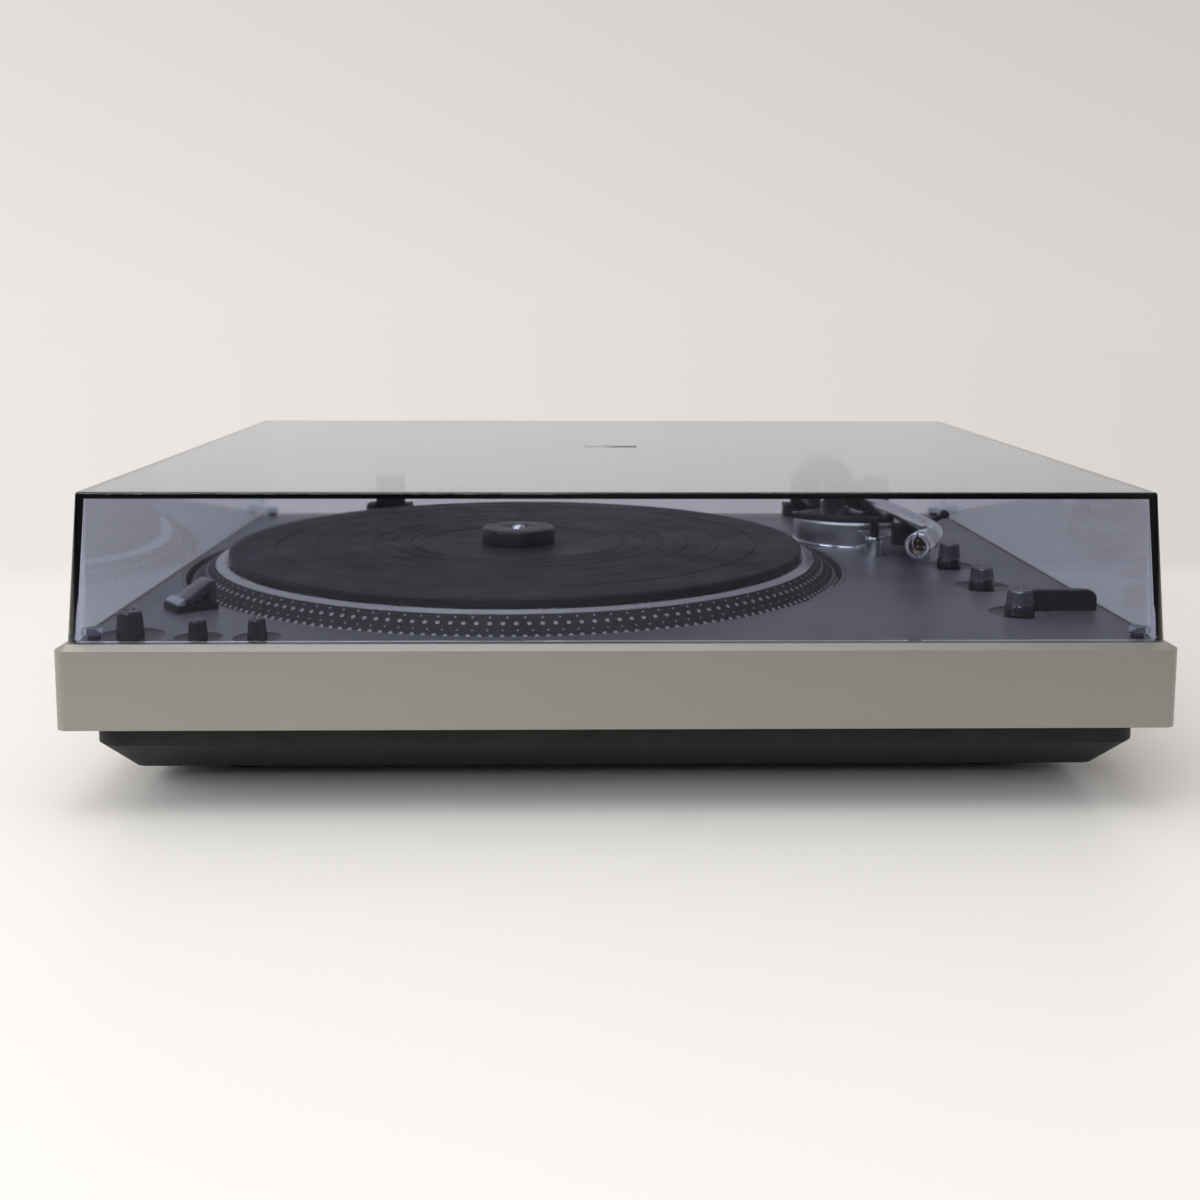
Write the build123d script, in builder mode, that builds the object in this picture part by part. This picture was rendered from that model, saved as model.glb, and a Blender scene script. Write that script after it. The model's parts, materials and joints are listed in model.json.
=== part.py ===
from build123d import *
import os
from math import atan, cos, degrees, hypot, radians, sin

os.makedirs("parts", exist_ok=True)

# Direct-drive record player with a hinged dust cover.  Millimetres, +X right, +Y back, +Z up.
# The origin is on the surface that the feet stand on, under the middle of the cabinet.

# Overall sizes
width = 453.0
depth = 366.0
foot_height = 8.0
tub_height = 27.3
cabinet_height = 34.4
lid_height = 60.0
lid_gap = 0.7

# Cabinet and deck
corner_radius = 5.0
bevel_run = 4.0
bevel_drop = 2.1
cabinet_wall = 4.0
panel_thickness = 3.0
ledge_thickness = 3.0
ledge_width = 5.0
side_rim = 6.0
front_rim = 6.2
rear_rim = 20.5
fit_gap = 0.3
plate_gap = 0.5
chassis_thickness = 2.5

# Tub
tub_inset_side = 10.0
tub_inset_end = 13.0
tub_draft_side = 8.5
tub_draft_end = 25.5
tub_band = 10.3
tub_wall = 3.0
flange_thickness = 2.5
tub_corner = 12.0
boss_width = 10.0
boss_depth = 12.0
screw_radius = 1.8
screw_head_radius = 3.0
screw_head = 2.0
screw_inset = 9.5
front_screw_x = 125.0
rear_screw_x = 185.0
foot_radius = 22.0
foot_x = 165.0
foot_y = 102.0

# Platter and motor
spindle_x = -48.5
spindle_from_front = 184.9
platter_radius = 166.0
platter_flange = 0.9
band_run = 12.0
band_top_radius = platter_radius - band_run
lip_width = 4.0
lip_radius = band_top_radius - lip_width
lip_step = 3.0
web_thickness = 4.0
platter_sink = 3.3
platter_rise = 7.2
well_gap = 2.6
well_wall = 1.4
well_depth = 7.7
mat_inset = 2.5
mat_radius = lip_radius - mat_inset
mat_thickness = 4.6
mat_label_radius = 50.0
mat_label_depth = 0.8
mat_groove_radii = (56.7, 66.7, 76.7, 89.7, 105.7, 125.2)
mat_groove_width = 1.4
mat_edge = 4.0
mat_groove_depth = 0.7
spindle_radius = 3.6
spindle_proud = 1.1
running_gap = 0.03
hub_radius = 14.0
adaptor_radius = 19.0
adaptor_height = 8.2
adaptor_gap = 0.08
magnet_inner = 24.0
magnet_radius = 62.0
magnet_thickness = 3.5
coil_count = 9
coil_radius = 13.0
coil_hole = 5.0
coil_pitch_radius = 44.0
coil_height = 4.6
board_thickness = 1.6
bearing_radius = 11.0
bearing_flange_radius = 22.0
bearing_flange = 2.5
bearing_length = 45.0
bearing_end = 3.0
bush_radius = 7.0

# Dust cover
lid_wall = 3.0
lid_draft = 5.1
lid_corner = 6.0
lid_front_setback = 4.3
lid_badge_size = (27.5, 19.5)
lid_badge_from_front = 200.0
lid_badge_thickness = 0.8
lid_badge_sunk = 0.5
bumper_radius = 2.6
bumper_inset = 9.5
bumper_wall = 0.8
bumper_boss = 3.0
hinge_x = (-138.0, 130.0)
hinge_width = 28.0
hinge_cheek = 4.5
hinge_rise = 4.4
hinge_knuckle = 3.4
hinge_from_rear = 5.5
hinge_pin_radius = 1.5
hinge_notch_gap = 1.0
leaf_height = 14.0
leaf_thickness = 2.5

# Tone arm
arm_base_x = 140.0
arm_pivot_x = 143.0
arm_from_front = 257.0
arm_height = 25.3
arm_base_radius = 31.5
arm_base_height = 14.3
arm_shelf_height = 10.3
arm_shaft_radius = 6.0
arm_sleeve_radius = 10.0
arm_sleeve_length = 16.0
yoke_radius = 19.5
yoke_floor = 2.0
yoke_height = 18.7
yoke_slot = 23.0
yoke_lift = 0.3
gimbal_radius = 7.0
gimbal_half = 10.0
pivot_pin_radius = 1.5
tube_radius = 4.0
tube_wall = 0.8
elbow_radius = 60.0
shoulder_radius = 200.0
collar_length = 26.0
collar_radius = 6.0
collar_bore = 4.1
collar_slot = 1.2
stub_length = 66.0
dial_start = 35.0
dial_width = 4.0
dial_radius = 13.0
weight_start = 42.0
weight_length = 21.0
weight_radius = 15.0
lifter_reach = 52.0
lifter_bar_width = 5.0
lifter_bar_height = 3.0
lifter_clear = 0.3
lifter_shaft_radius = 2.3
lifter_cylinder_radius = 4.9
lifter_cylinder_height = 10.6

# Controls: x, distance from the front, knob radius, height above the deck, dish radius
left_knobs = {
    "power_knob": (-200.8, 20.3, 5.7, 10.4, 14.0),
    "pitch_knob_33": (-172.3, 16.6, 4.1, 7.6, 9.9),
    "pitch_knob_45": (-148.2, 16.5, 4.1, 8.1, 9.9),
}
right_knobs = {
    "size_knob": (177.1, 174.6, 5.7, 12.0, 13.6),
    "speed_knob": (178.9, 120.3, 5.7, 9.8, 13.8),
    "cue_lever": (179.4, 61.7, 6.2, 10.6, 13.9),
}
dish_depth = 1.2
knob_shaft_radius = 3.0
knob_skirt = 4.0
pot_radius = 8.0
pot_height = 10.0
lever_length = 33.6
lever_thickness = 5.2
lever_corner = 4.0

# Levels and lines worked out from the sizes above
cabinet_z = foot_height + tub_height
deck_z = cabinet_z + cabinet_height
lid_z = deck_z + lid_gap
lid_top_z = lid_z + lid_height
panel_z = deck_z - panel_thickness
ledge_z = panel_z - ledge_thickness
front_y = -depth / 2
rear_y = depth / 2
inner_width = width - 2 * cabinet_wall
inner_depth = depth - 2 * cabinet_wall
panel_width = width - 2 * side_rim
panel_depth = depth - front_rim - rear_rim
panel_y = front_y + front_rim + panel_depth / 2
spindle_y = front_y + spindle_from_front
spindle_at = (spindle_x, spindle_y)
well_radius = platter_radius + well_gap
well_outer = well_radius + well_wall
well_z = deck_z - well_depth
platter_z = deck_z - platter_sink
platter_top_z = deck_z + platter_rise
web_z = platter_top_z - web_thickness
mat_top_z = platter_top_z + mat_thickness
label_z = mat_top_z - mat_label_depth
spindle_top_z = label_z + adaptor_height + spindle_proud
bearing_top_z = well_z + bearing_flange
bearing_bottom_z = bearing_top_z - bearing_length
knobs = {**left_knobs, **right_knobs}


def at(x, from_front):
    """A point on the deck plan, from its distance behind the cabinet's front face."""
    return (x, front_y + from_front)


# Base tub: a moulded black tray that hangs below the cabinet from an inside flange
tub_width = width - 2 * tub_inset_side
tub_depth = depth - 2 * tub_inset_end
tub_floor_width = tub_width - 2 * tub_draft_side
tub_floor_depth = tub_depth - 2 * tub_draft_end
band_z = cabinet_z - tub_band
board_at = (118.0, -62.0)
board_size = (150.0, 90.0)
board_inset = 6.0
board_lift = 8.0
standoff_radius = 3.5
tub_floor_z = foot_height + tub_wall
flange_top_z = cabinet_z + flange_thickness
screw_y = rear_y - screw_inset
front_screws = [(x, -screw_y) for x in (-front_screw_x, 0, front_screw_x)]
screw_places = front_screws + [(x, screw_y) for x in (-rear_screw_x, 0, rear_screw_x)]
foot_places = [(x, y) for y in (-foot_y, foot_y) for x in (-foot_x, foot_x)]

with BuildPart() as base_tub:
    with BuildSketch(Plane.XY.offset(foot_height)):
        RectangleRounded(tub_floor_width, tub_floor_depth, tub_corner - 6)
    with BuildSketch(Plane.XY.offset(band_z)):
        RectangleRounded(tub_width, tub_depth, tub_corner)
    loft()
    with BuildSketch(Plane.XY.offset(band_z)):
        RectangleRounded(tub_width, tub_depth, tub_corner)
    extrude(amount=tub_band)
    with BuildSketch(Plane.XY.offset(cabinet_z)):
        RectangleRounded(inner_width - 2 * plate_gap, inner_depth - 2 * plate_gap, corner_radius / 2)
    extrude(amount=flange_thickness)
    with BuildSketch(Plane.XY.offset(tub_floor_z)):
        RectangleRounded(tub_floor_width - tub_wall, tub_floor_depth - tub_wall, tub_corner - 8)
    with BuildSketch(Plane.XY.offset(band_z)):
        RectangleRounded(tub_width - 2 * tub_wall, tub_depth - 2 * tub_wall, tub_corner - 2)
    loft(mode=Mode.SUBTRACT)
    with BuildSketch(Plane.XY.offset(band_z)):
        RectangleRounded(tub_width - 2 * tub_wall, tub_depth - 2 * tub_wall, tub_corner - 2)
    extrude(amount=tub_band + flange_thickness, mode=Mode.SUBTRACT)
    with BuildSketch(Plane.XY.offset(tub_floor_z)):
        with Locations(board_at):
            with GridLocations(board_size[0] - 2 * board_inset, board_size[1] - 2 * board_inset, 2, 2):
                Circle(standoff_radius)
        with Locations(*foot_places):
            Circle(standoff_radius + screw_radius)
    extrude(amount=board_lift)
    with BuildSketch(Plane.XY.offset(foot_height)):
        with Locations(*foot_places):
            Circle(screw_radius)
    extrude(amount=tub_wall + board_lift, mode=Mode.SUBTRACT)
    with BuildSketch(Plane.XY.offset(cabinet_z)):
        with Locations(*screw_places):
            Circle(screw_radius)
    extrude(amount=flange_thickness, mode=Mode.SUBTRACT)
base_tub.part.label = "base_tub"
export_step(base_tub.part, "parts/base_tub.step")

# Feet: four rubber pads, one at each corner, each held by a screw from below
foot_pocket = 3.0
with BuildPart() as feet:
    with BuildSketch():
        with Locations(*foot_places):
            Circle(foot_radius)
            Circle(screw_radius, mode=Mode.SUBTRACT)
    extrude(amount=foot_height)
    chamfer(feet.edges().group_by(Axis.Z)[0].filter_by(lambda e: e.radius > screw_radius + 1), 1.5)
    with BuildSketch():
        with Locations(*foot_places):
            Circle(screw_head_radius + fit_gap)
    extrude(amount=foot_pocket, mode=Mode.SUBTRACT)
feet.part.label = "feet"
export_step(feet.part, "parts/feet.step")

# Screws: six through the tub's flange into the cabinet and four through the feet
boss_top_z = ledge_z - chassis_thickness - 0.4
flange_screw_length = 16.0
foot_screw_length = foot_height - foot_pocket + tub_wall + board_lift - 2
with BuildPart() as case_screws:
    with BuildSketch(Plane.XY.offset(cabinet_z - screw_head)):
        with Locations(*screw_places):
            Circle(screw_head_radius)
    extrude(amount=screw_head)
    with BuildSketch(Plane.XY.offset(cabinet_z)):
        with Locations(*screw_places):
            Circle(screw_radius)
    extrude(amount=flange_screw_length)
    with BuildSketch(Plane.XY.offset(foot_pocket - screw_head)):
        with Locations(*foot_places):
            Circle(screw_head_radius)
    extrude(amount=screw_head)
    with BuildSketch(Plane.XY.offset(foot_pocket)):
        with Locations(*foot_places):
            Circle(screw_radius)
    extrude(amount=foot_screw_length)
case_screws.part.label = "case_screws"
export_step(case_screws.part, "parts/case_screws.step")

# Cabinet: die-cast frame with a bevelled top edge, a rear rim for the hinges and an inside ledge
terminal_x = 110.0
terminal_size = (62.0, 20.0)
inlet_x = -130.0
inlet_size = (26.0, 18.0)
socket_z = flange_top_z + 12.0
with BuildPart() as cabinet:
    with BuildSketch(Plane.XY.offset(cabinet_z)):
        RectangleRounded(width, depth, corner_radius)
    extrude(amount=cabinet_height - bevel_drop)
    with BuildSketch(Plane.XY.offset(deck_z - bevel_drop)):
        RectangleRounded(width, depth, corner_radius)
    extrude(amount=bevel_drop, taper=degrees(atan(bevel_run / bevel_drop)))
    with BuildSketch(Plane.XY.offset(cabinet_z)):
        RectangleRounded(inner_width, inner_depth, corner_radius / 2)
    extrude(amount=ledge_z - cabinet_z, mode=Mode.SUBTRACT)
    with BuildSketch(Plane.XY.offset(ledge_z)):
        with Locations((0, panel_y)):
            Rectangle(panel_width - 2 * ledge_width, panel_depth - 2 * ledge_width)
    extrude(amount=ledge_thickness, mode=Mode.SUBTRACT)
    with BuildSketch(Plane.XY.offset(panel_z)):
        with Locations((0, panel_y)):
            Rectangle(panel_width + 2 * fit_gap, panel_depth + 2 * fit_gap)
    extrude(amount=panel_thickness, mode=Mode.SUBTRACT)
    with BuildSketch(Plane.XY.offset(ledge_z)):
        with Locations(spindle_at):
            Circle(well_outer + fit_gap)
    extrude(amount=panel_thickness + ledge_thickness, mode=Mode.SUBTRACT)
    with BuildSketch(Plane.XY.offset(flange_top_z)):
        for x, y in screw_places:
            side = 1 if y > 0 else -1
            with Locations((x, side * (rear_y - cabinet_wall - boss_depth / 2))):
                Rectangle(boss_width, boss_depth)
    extrude(amount=boss_top_z - flange_top_z)
    with BuildSketch(Plane.XY.offset(flange_top_z)):
        with Locations(*screw_places):
            Circle(screw_radius)
    extrude(amount=flange_screw_length, mode=Mode.SUBTRACT)
    with BuildSketch(Plane.XZ.offset(-rear_y)):
        with Locations((terminal_x, socket_z)):
            Rectangle(*terminal_size)
        with Locations((inlet_x, socket_z)):
            Rectangle(*inlet_size)
    extrude(amount=cabinet_wall, mode=Mode.SUBTRACT)
cabinet.part.label = "cabinet"
export_step(cabinet.part, "parts/cabinet.step")

# Deck panel: aluminium sheet with a shallow dish round each control and a large hole for the platter
strobe_radius = 182.0
strobe_angle = 218.7
strobe_hole_radius = 5.0
lifter_at = at(arm_pivot_x + 1.0, arm_from_front - lifter_reach)
arm_base_at = at(arm_base_x, arm_from_front)
arm_pivot_at = at(arm_pivot_x, arm_from_front)
strobe_at = (
    spindle_x + strobe_radius * cos(radians(strobe_angle)),
    spindle_y + strobe_radius * sin(radians(strobe_angle)),
)
with BuildPart() as deck_panel:
    with BuildSketch(Plane.XY.offset(panel_z)):
        with Locations((0, panel_y)):
            Rectangle(panel_width, panel_depth)
        with Locations(spindle_at):
            Circle(well_outer + fit_gap, mode=Mode.SUBTRACT)
        with Locations(arm_pivot_at):
            Circle(arm_sleeve_radius + fit_gap, mode=Mode.SUBTRACT)
        with Locations(lifter_at):
            Circle(lifter_cylinder_radius + fit_gap, mode=Mode.SUBTRACT)
        with Locations(strobe_at):
            Circle(strobe_hole_radius, mode=Mode.SUBTRACT)
        for x, from_front, radius, height, dish in knobs.values():
            with Locations(at(x, from_front)):
                Circle(knob_shaft_radius + fit_gap, mode=Mode.SUBTRACT)
    extrude(amount=panel_thickness)
    with BuildSketch(Plane.XY.offset(deck_z - dish_depth)):
        for x, from_front, radius, height, dish in knobs.values():
            with Locations(at(x, from_front)):
                Circle(dish)
    extrude(amount=dish_depth, mode=Mode.SUBTRACT)
deck_panel.part.label = "deck_panel"
export_step(deck_panel.part, "parts/deck_panel.step")

# Motor chassis: pressed plate under the deck, drawn down into a round well for the platter
chassis_z = ledge_z - chassis_thickness
with BuildPart() as motor_chassis:
    with BuildSketch(Plane.XY.offset(chassis_z)):
        RectangleRounded(inner_width - 2 * plate_gap, inner_depth - 2 * plate_gap, corner_radius / 2)
        with Locations(arm_pivot_at):
            Circle(arm_sleeve_radius + fit_gap, mode=Mode.SUBTRACT)
        with Locations(lifter_at):
            Circle(lifter_cylinder_radius + fit_gap, mode=Mode.SUBTRACT)
        with Locations(strobe_at):
            Circle(strobe_hole_radius, mode=Mode.SUBTRACT)
        for x, from_front, radius, height, dish in knobs.values():
            with Locations(at(x, from_front)):
                Circle(knob_shaft_radius + fit_gap, mode=Mode.SUBTRACT)
    extrude(amount=chassis_thickness)
    with BuildSketch(Plane.XY.offset(well_z - chassis_thickness)):
        with Locations(spindle_at):
            Circle(well_outer)
    extrude(amount=well_depth + chassis_thickness)
    with BuildSketch(Plane.XY.offset(well_z)):
        with Locations(spindle_at):
            Circle(well_radius)
    extrude(amount=well_depth, mode=Mode.SUBTRACT)
    with BuildSketch(Plane.XY.offset(well_z - chassis_thickness)):
        with Locations(spindle_at):
            Circle(bearing_radius)
    extrude(amount=chassis_thickness, mode=Mode.SUBTRACT)
motor_chassis.part.label = "motor_chassis"
export_step(motor_chassis.part, "parts/motor_chassis.step")

# Main bearing: a cast housing through the well's floor, a bronze bush and a thrust pad
with BuildPart() as bearing_housing:
    with BuildSketch(Plane.XY.offset(well_z)):
        with Locations(spindle_at):
            Circle(bearing_flange_radius)
    extrude(amount=bearing_flange)
    with BuildSketch(Plane.XY.offset(bearing_bottom_z)):
        with Locations(spindle_at):
            Circle(bearing_radius)
    extrude(amount=bearing_length)
    with BuildSketch(Plane.XY.offset(bearing_bottom_z + bearing_end)):
        with Locations(spindle_at):
            Circle(bush_radius)
    extrude(amount=bearing_length - bearing_end, mode=Mode.SUBTRACT)
bearing_housing.part.label = "bearing_housing"
export_step(bearing_housing.part, "parts/bearing_housing.step")

pad_z = bearing_bottom_z + bearing_end
pad_thickness = 2.0
pad_gap = 0.05
with BuildPart() as thrust_pad:
    with BuildSketch(Plane.XY.offset(pad_z)):
        with Locations(spindle_at):
            Circle(bush_radius - fit_gap)
    extrude(amount=pad_thickness)
thrust_pad.part.label = "thrust_pad"
export_step(thrust_pad.part, "parts/thrust_pad.step")

bush_z = pad_z + pad_thickness + 1.0
with BuildPart() as bearing_bush:
    with BuildSketch(Plane.XY.offset(bush_z)):
        with Locations(spindle_at):
            Circle(bush_radius)
            Circle(spindle_radius + running_gap, mode=Mode.SUBTRACT)
    extrude(amount=bearing_top_z - 1.0 - bush_z)
bearing_bush.part.label = "bearing_bush"
export_step(bearing_bush.part, "parts/bearing_bush.step")

# Stator: a round circuit board with a ring of flat coils
with BuildPart() as stator_board:
    with BuildSketch(Plane.XY.offset(well_z)):
        with Locations(spindle_at):
            Circle(magnet_radius + 2)
            Circle(bearing_flange_radius + fit_gap, mode=Mode.SUBTRACT)
    extrude(amount=board_thickness)
stator_board.part.label = "stator_board"
export_step(stator_board.part, "parts/stator_board.step")

with BuildPart() as stator_coils:
    with BuildSketch(Plane.XY.offset(well_z + board_thickness)):
        with Locations(spindle_at):
            with PolarLocations(coil_pitch_radius, coil_count):
                Circle(coil_radius)
                Circle(coil_hole, mode=Mode.SUBTRACT)
    extrude(amount=coil_height)
stator_coils.part.label = "stator_coils"
export_step(stator_coils.part, "parts/stator_coils.step")

# Platter: cast aluminium, its sloping rim banded for the strobe dots, and the lip that holds the mat in
rim_width = 14.0
rim_slope = 6.0
rim_foot_radius = platter_radius - rim_width
rim_inner_radius = rim_foot_radius - rim_slope
band_bottom_radius = platter_radius - 0.7
band_bottom_z = platter_z + platter_flange + 0.7
band_top_z = platter_top_z - 1.1
lip_rise = 0.3
with BuildPart() as platter:
    with BuildSketch(Plane.XZ):
        with BuildLine():
            Polyline(
                (spindle_radius, platter_z),
                (hub_radius, platter_z),
                (hub_radius, web_z),
                (rim_inner_radius, web_z),
                (rim_foot_radius, platter_z),
                (platter_radius, platter_z),
                (platter_radius, platter_z + platter_flange),
                (band_bottom_radius, band_bottom_z),
                (band_top_radius, band_top_z),
                (lip_radius + lip_step, band_top_z),
                (lip_radius, platter_top_z + lip_rise),
                (mat_radius + 0.8, platter_top_z + lip_rise),
                (mat_radius + 0.8, platter_top_z),
                (spindle_radius, platter_top_z),
                close=True,
            )
        make_face()
    revolve(axis=Axis.Z)
platter.part.move(Location((spindle_x, spindle_y, 0)))
platter.part.label = "platter"
export_step(platter.part, "parts/platter.step")

# Mat: black rubber with a sunk label area and a few fine ring grooves
with BuildPart() as platter_mat:
    with BuildSketch(Plane.XY.offset(platter_top_z)):
        with Locations(spindle_at):
            Circle(mat_radius)
            Circle(spindle_radius + fit_gap, mode=Mode.SUBTRACT)
    extrude(amount=mat_thickness)
    chamfer(platter_mat.edges().group_by(Axis.Z)[-1].sort_by(SortBy.LENGTH)[-1], 0.8)
    with BuildSketch(Plane.XY.offset(label_z)):
        with Locations(spindle_at):
            Circle(mat_label_radius)
    extrude(amount=mat_label_depth, mode=Mode.SUBTRACT)
    with BuildSketch(Plane.XY.offset(mat_top_z - mat_groove_depth)):
        with Locations(spindle_at):
            for radius in (ring for ring in mat_groove_radii if ring < mat_radius - mat_edge):
                add(Circle(radius, mode=Mode.PRIVATE) - Circle(radius - mat_groove_width, mode=Mode.PRIVATE))
    extrude(amount=mat_groove_depth, mode=Mode.SUBTRACT)
platter_mat.part.label = "platter_mat"
export_step(platter_mat.part, "parts/platter_mat.step")

# Spindle: polished steel, pressed into the platter's hub
spindle_bottom_z = pad_z + pad_thickness + pad_gap
with BuildPart() as spindle:
    with BuildSketch(Plane.XY.offset(spindle_bottom_z)):
        with Locations(spindle_at):
            Circle(spindle_radius)
    extrude(amount=spindle_top_z - spindle_bottom_z)
    chamfer(spindle.edges().group_by(Axis.Z)[-1], 0.9)
spindle.part.label = "spindle"
export_step(spindle.part, "parts/spindle.step")

# Rotor magnet: a flat ring bonded under the platter
with BuildPart() as rotor_magnet:
    with BuildSketch(Plane.XY.offset(web_z - magnet_thickness)):
        with Locations(spindle_at):
            Circle(magnet_radius)
            Circle(magnet_inner, mode=Mode.SUBTRACT)
    extrude(amount=magnet_thickness)
rotor_magnet.part.label = "rotor_magnet"
export_step(rotor_magnet.part, "parts/rotor_magnet.step")

# Record adaptor: a loose puck for large-hole records, lifted off by hand
with BuildPart() as record_adaptor:
    with BuildSketch(Plane.XY.offset(label_z)):
        with Locations(spindle_at):
            Circle(adaptor_radius)
            Circle(spindle_radius + adaptor_gap, mode=Mode.SUBTRACT)
    extrude(amount=adaptor_height)
    fillet(record_adaptor.edges().group_by(Axis.Z)[-1].sort_by(SortBy.LENGTH)[-1], 1.2)
    chamfer(record_adaptor.edges().group_by(Axis.Z)[-1].sort_by(SortBy.LENGTH)[0], 1.0)
record_adaptor.part.label = "record_adaptor"
export_step(record_adaptor.part, "parts/record_adaptor.step")

# Control pots: switch and pot bodies under the chassis, one for each knob
pot_z = chassis_z - pot_height
with BuildPart() as control_pots:
    with BuildSketch(Plane.XY.offset(pot_z)):
        for x, from_front, radius, height, dish in knobs.values():
            with Locations(at(x, from_front)):
                Circle(pot_radius)
    extrude(amount=pot_height)
    with BuildSketch(Plane.XY.offset(pot_z + 2)):
        for x, from_front, radius, height, dish in knobs.values():
            with Locations(at(x, from_front)):
                Circle(knob_shaft_radius + 2 * running_gap)
    extrude(amount=pot_height - 2, mode=Mode.SUBTRACT)
control_pots.part.label = "control_pots"
export_step(control_pots.part, "parts/control_pots.step")

# Knobs: slightly tapered, each on its own shaft; the last one carries a flat lever
knob_z = deck_z - dish_depth + fit_gap
knob_taper = 2.5
for knob_name, (x, from_front, radius, height, dish) in knobs.items():
    knob_top_z = deck_z + height
    with BuildPart() as knob:
        with BuildSketch(Plane.XY.offset(pot_z + 3)):
            with Locations(at(x, from_front)):
                Circle(knob_shaft_radius)
        extrude(amount=knob_z - pot_z - 3)
        with BuildSketch(Plane.XY.offset(knob_z)):
            with Locations(at(x, from_front)):
                Circle(radius)
        extrude(amount=knob_top_z - knob_z, taper=knob_taper)
        fillet(knob.edges().group_by(Axis.Z)[-1], 0.6)
        if knob_name in right_knobs:
            with BuildSketch(Plane.XY.offset(knob_z)):
                with Locations(at(x, from_front)):
                    Circle(radius + 0.4)
            extrude(amount=knob_skirt, taper=knob_taper)
        if knob_name == "cue_lever":
            lever_x, lever_y = at(x, from_front)
            with BuildSketch(Plane.XZ.offset(-lever_y - lever_thickness / 2)):
                with BuildLine():
                    FilletPolyline(
                        (lever_x, deck_z + 0.9),
                        (lever_x + lever_length, deck_z + 0.9),
                        (lever_x + lever_length, knob_top_z - 0.2),
                        (lever_x, knob_top_z - 0.2),
                        radius=[1.0, lever_corner, 0.5, 0.5],
                        close=True,
                    )
                make_face()
            extrude(amount=lever_thickness)
    knob.part.label = knob_name
    export_step(knob.part, f"parts/{knob_name}.step")

# Strobe unit: lamp and prism on a low plinth, facing the dots on the platter's rim
strobe_half = 8.0
strobe_outer = 190.5
strobe_inner = 171.6
plinth_height = 3.0
hood_height = 12.4
strobe_plane = Plane(
    origin=(spindle_x, spindle_y, deck_z),
    x_dir=(cos(radians(strobe_angle)), sin(radians(strobe_angle)), 0),
    z_dir=(sin(radians(strobe_angle)), -cos(radians(strobe_angle)), 0),
)
with BuildPart() as strobe_plinth:
    with BuildSketch(strobe_plane):
        with Locations(((strobe_inner + strobe_outer) / 2, plinth_height / 2)):
            Rectangle(strobe_outer - strobe_inner, plinth_height)
    extrude(amount=strobe_half, both=True)
    with BuildSketch(Plane.XY.offset(deck_z)):
        with Locations(strobe_at):
            Circle(strobe_hole_radius - fit_gap)
    extrude(amount=plinth_height, mode=Mode.SUBTRACT)
strobe_plinth.part.label = "strobe_plinth"
export_step(strobe_plinth.part, "parts/strobe_plinth.step")

with BuildPart() as strobe_hood:
    with BuildSketch(strobe_plane):
        with BuildLine():
            Polyline(
                (strobe_inner, plinth_height),
                (strobe_inner, hood_height),
                (strobe_inner + 3, hood_height),
                (strobe_outer - 4, plinth_height + 2),
                (strobe_outer - 4, plinth_height),
                (strobe_outer - 8, plinth_height),
                (strobe_inner + 3, hood_height - 3.5),
                (strobe_inner + 3, plinth_height),
                close=True,
            )
        make_face()
    extrude(amount=strobe_half - 2, both=True)
strobe_hood.part.label = "strobe_hood"
export_step(strobe_hood.part, "parts/strobe_hood.step")

with BuildPart() as strobe_lens:
    with BuildSketch(strobe_plane):
        with BuildLine():
            Polyline(
                (strobe_outer - 3.8, plinth_height),
                (strobe_outer - 0.8, plinth_height),
                (strobe_outer - 0.8, plinth_height + 1.4),
                (strobe_outer - 3.8, plinth_height + 3.2),
                close=True,
            )
        make_face()
    extrude(amount=strobe_half - 1, both=True)
strobe_lens.part.label = "strobe_lens"
export_step(strobe_lens.part, "parts/strobe_lens.step")

lamp_radius = 2.2
with BuildPart() as strobe_lamp:
    with BuildSketch(Plane.XY.offset(chassis_z)):
        with Locations(strobe_at):
            Circle(strobe_hole_radius - 1)
    extrude(amount=deck_z - chassis_z - 1)
    with BuildSketch(Plane.XY.offset(deck_z - 1)):
        with Locations(strobe_at):
            Circle(lamp_radius)
    extrude(amount=3.6)
    fillet(strobe_lamp.edges().group_by(Axis.Z)[-1], 1.6)
strobe_lamp.part.label = "strobe_lamp"
export_step(strobe_lamp.part, "parts/strobe_lamp.step")

# Tone-arm base: a thick round flange with a lower shelf for the lifter, the rest and the anti-skate dial
arm_z = deck_z + arm_height
base_top_z = deck_z + arm_base_height
shelf_z = deck_z + arm_shelf_height
shelf_size = (38.0, 38.0)
shelf_at = at(158.0, 226.0)
antiskate_at = at(170.0, 232.0)
antiskate_shaft = 1.5
antiskate_depth = 7.0
with BuildPart() as tonearm_base:
    with BuildSketch(Plane.XY.offset(deck_z)):
        with Locations(arm_base_at):
            Circle(arm_base_radius)
    extrude(amount=arm_base_height)
    chamfer(tonearm_base.edges().group_by(Axis.Z)[-1], 1.2)
    with BuildSketch(Plane.XY.offset(deck_z)):
        with Locations(shelf_at):
            RectangleRounded(shelf_size[0], shelf_size[1], 5)
    extrude(amount=arm_shelf_height)
    with BuildSketch(Plane.XY.offset(deck_z)):
        with Locations(arm_pivot_at):
            Circle(arm_shaft_radius + running_gap)
        with Locations(lifter_at):
            Circle(lifter_cylinder_radius + fit_gap)
    extrude(amount=arm_base_height, mode=Mode.SUBTRACT)
    with BuildSketch(Plane.XY.offset(shelf_z - antiskate_depth)):
        with Locations(antiskate_at):
            Circle(antiskate_shaft + running_gap)
    extrude(amount=antiskate_depth, mode=Mode.SUBTRACT)
tonearm_base.part.label = "tonearm_base"
export_step(tonearm_base.part, "parts/tonearm_base.step")

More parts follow.
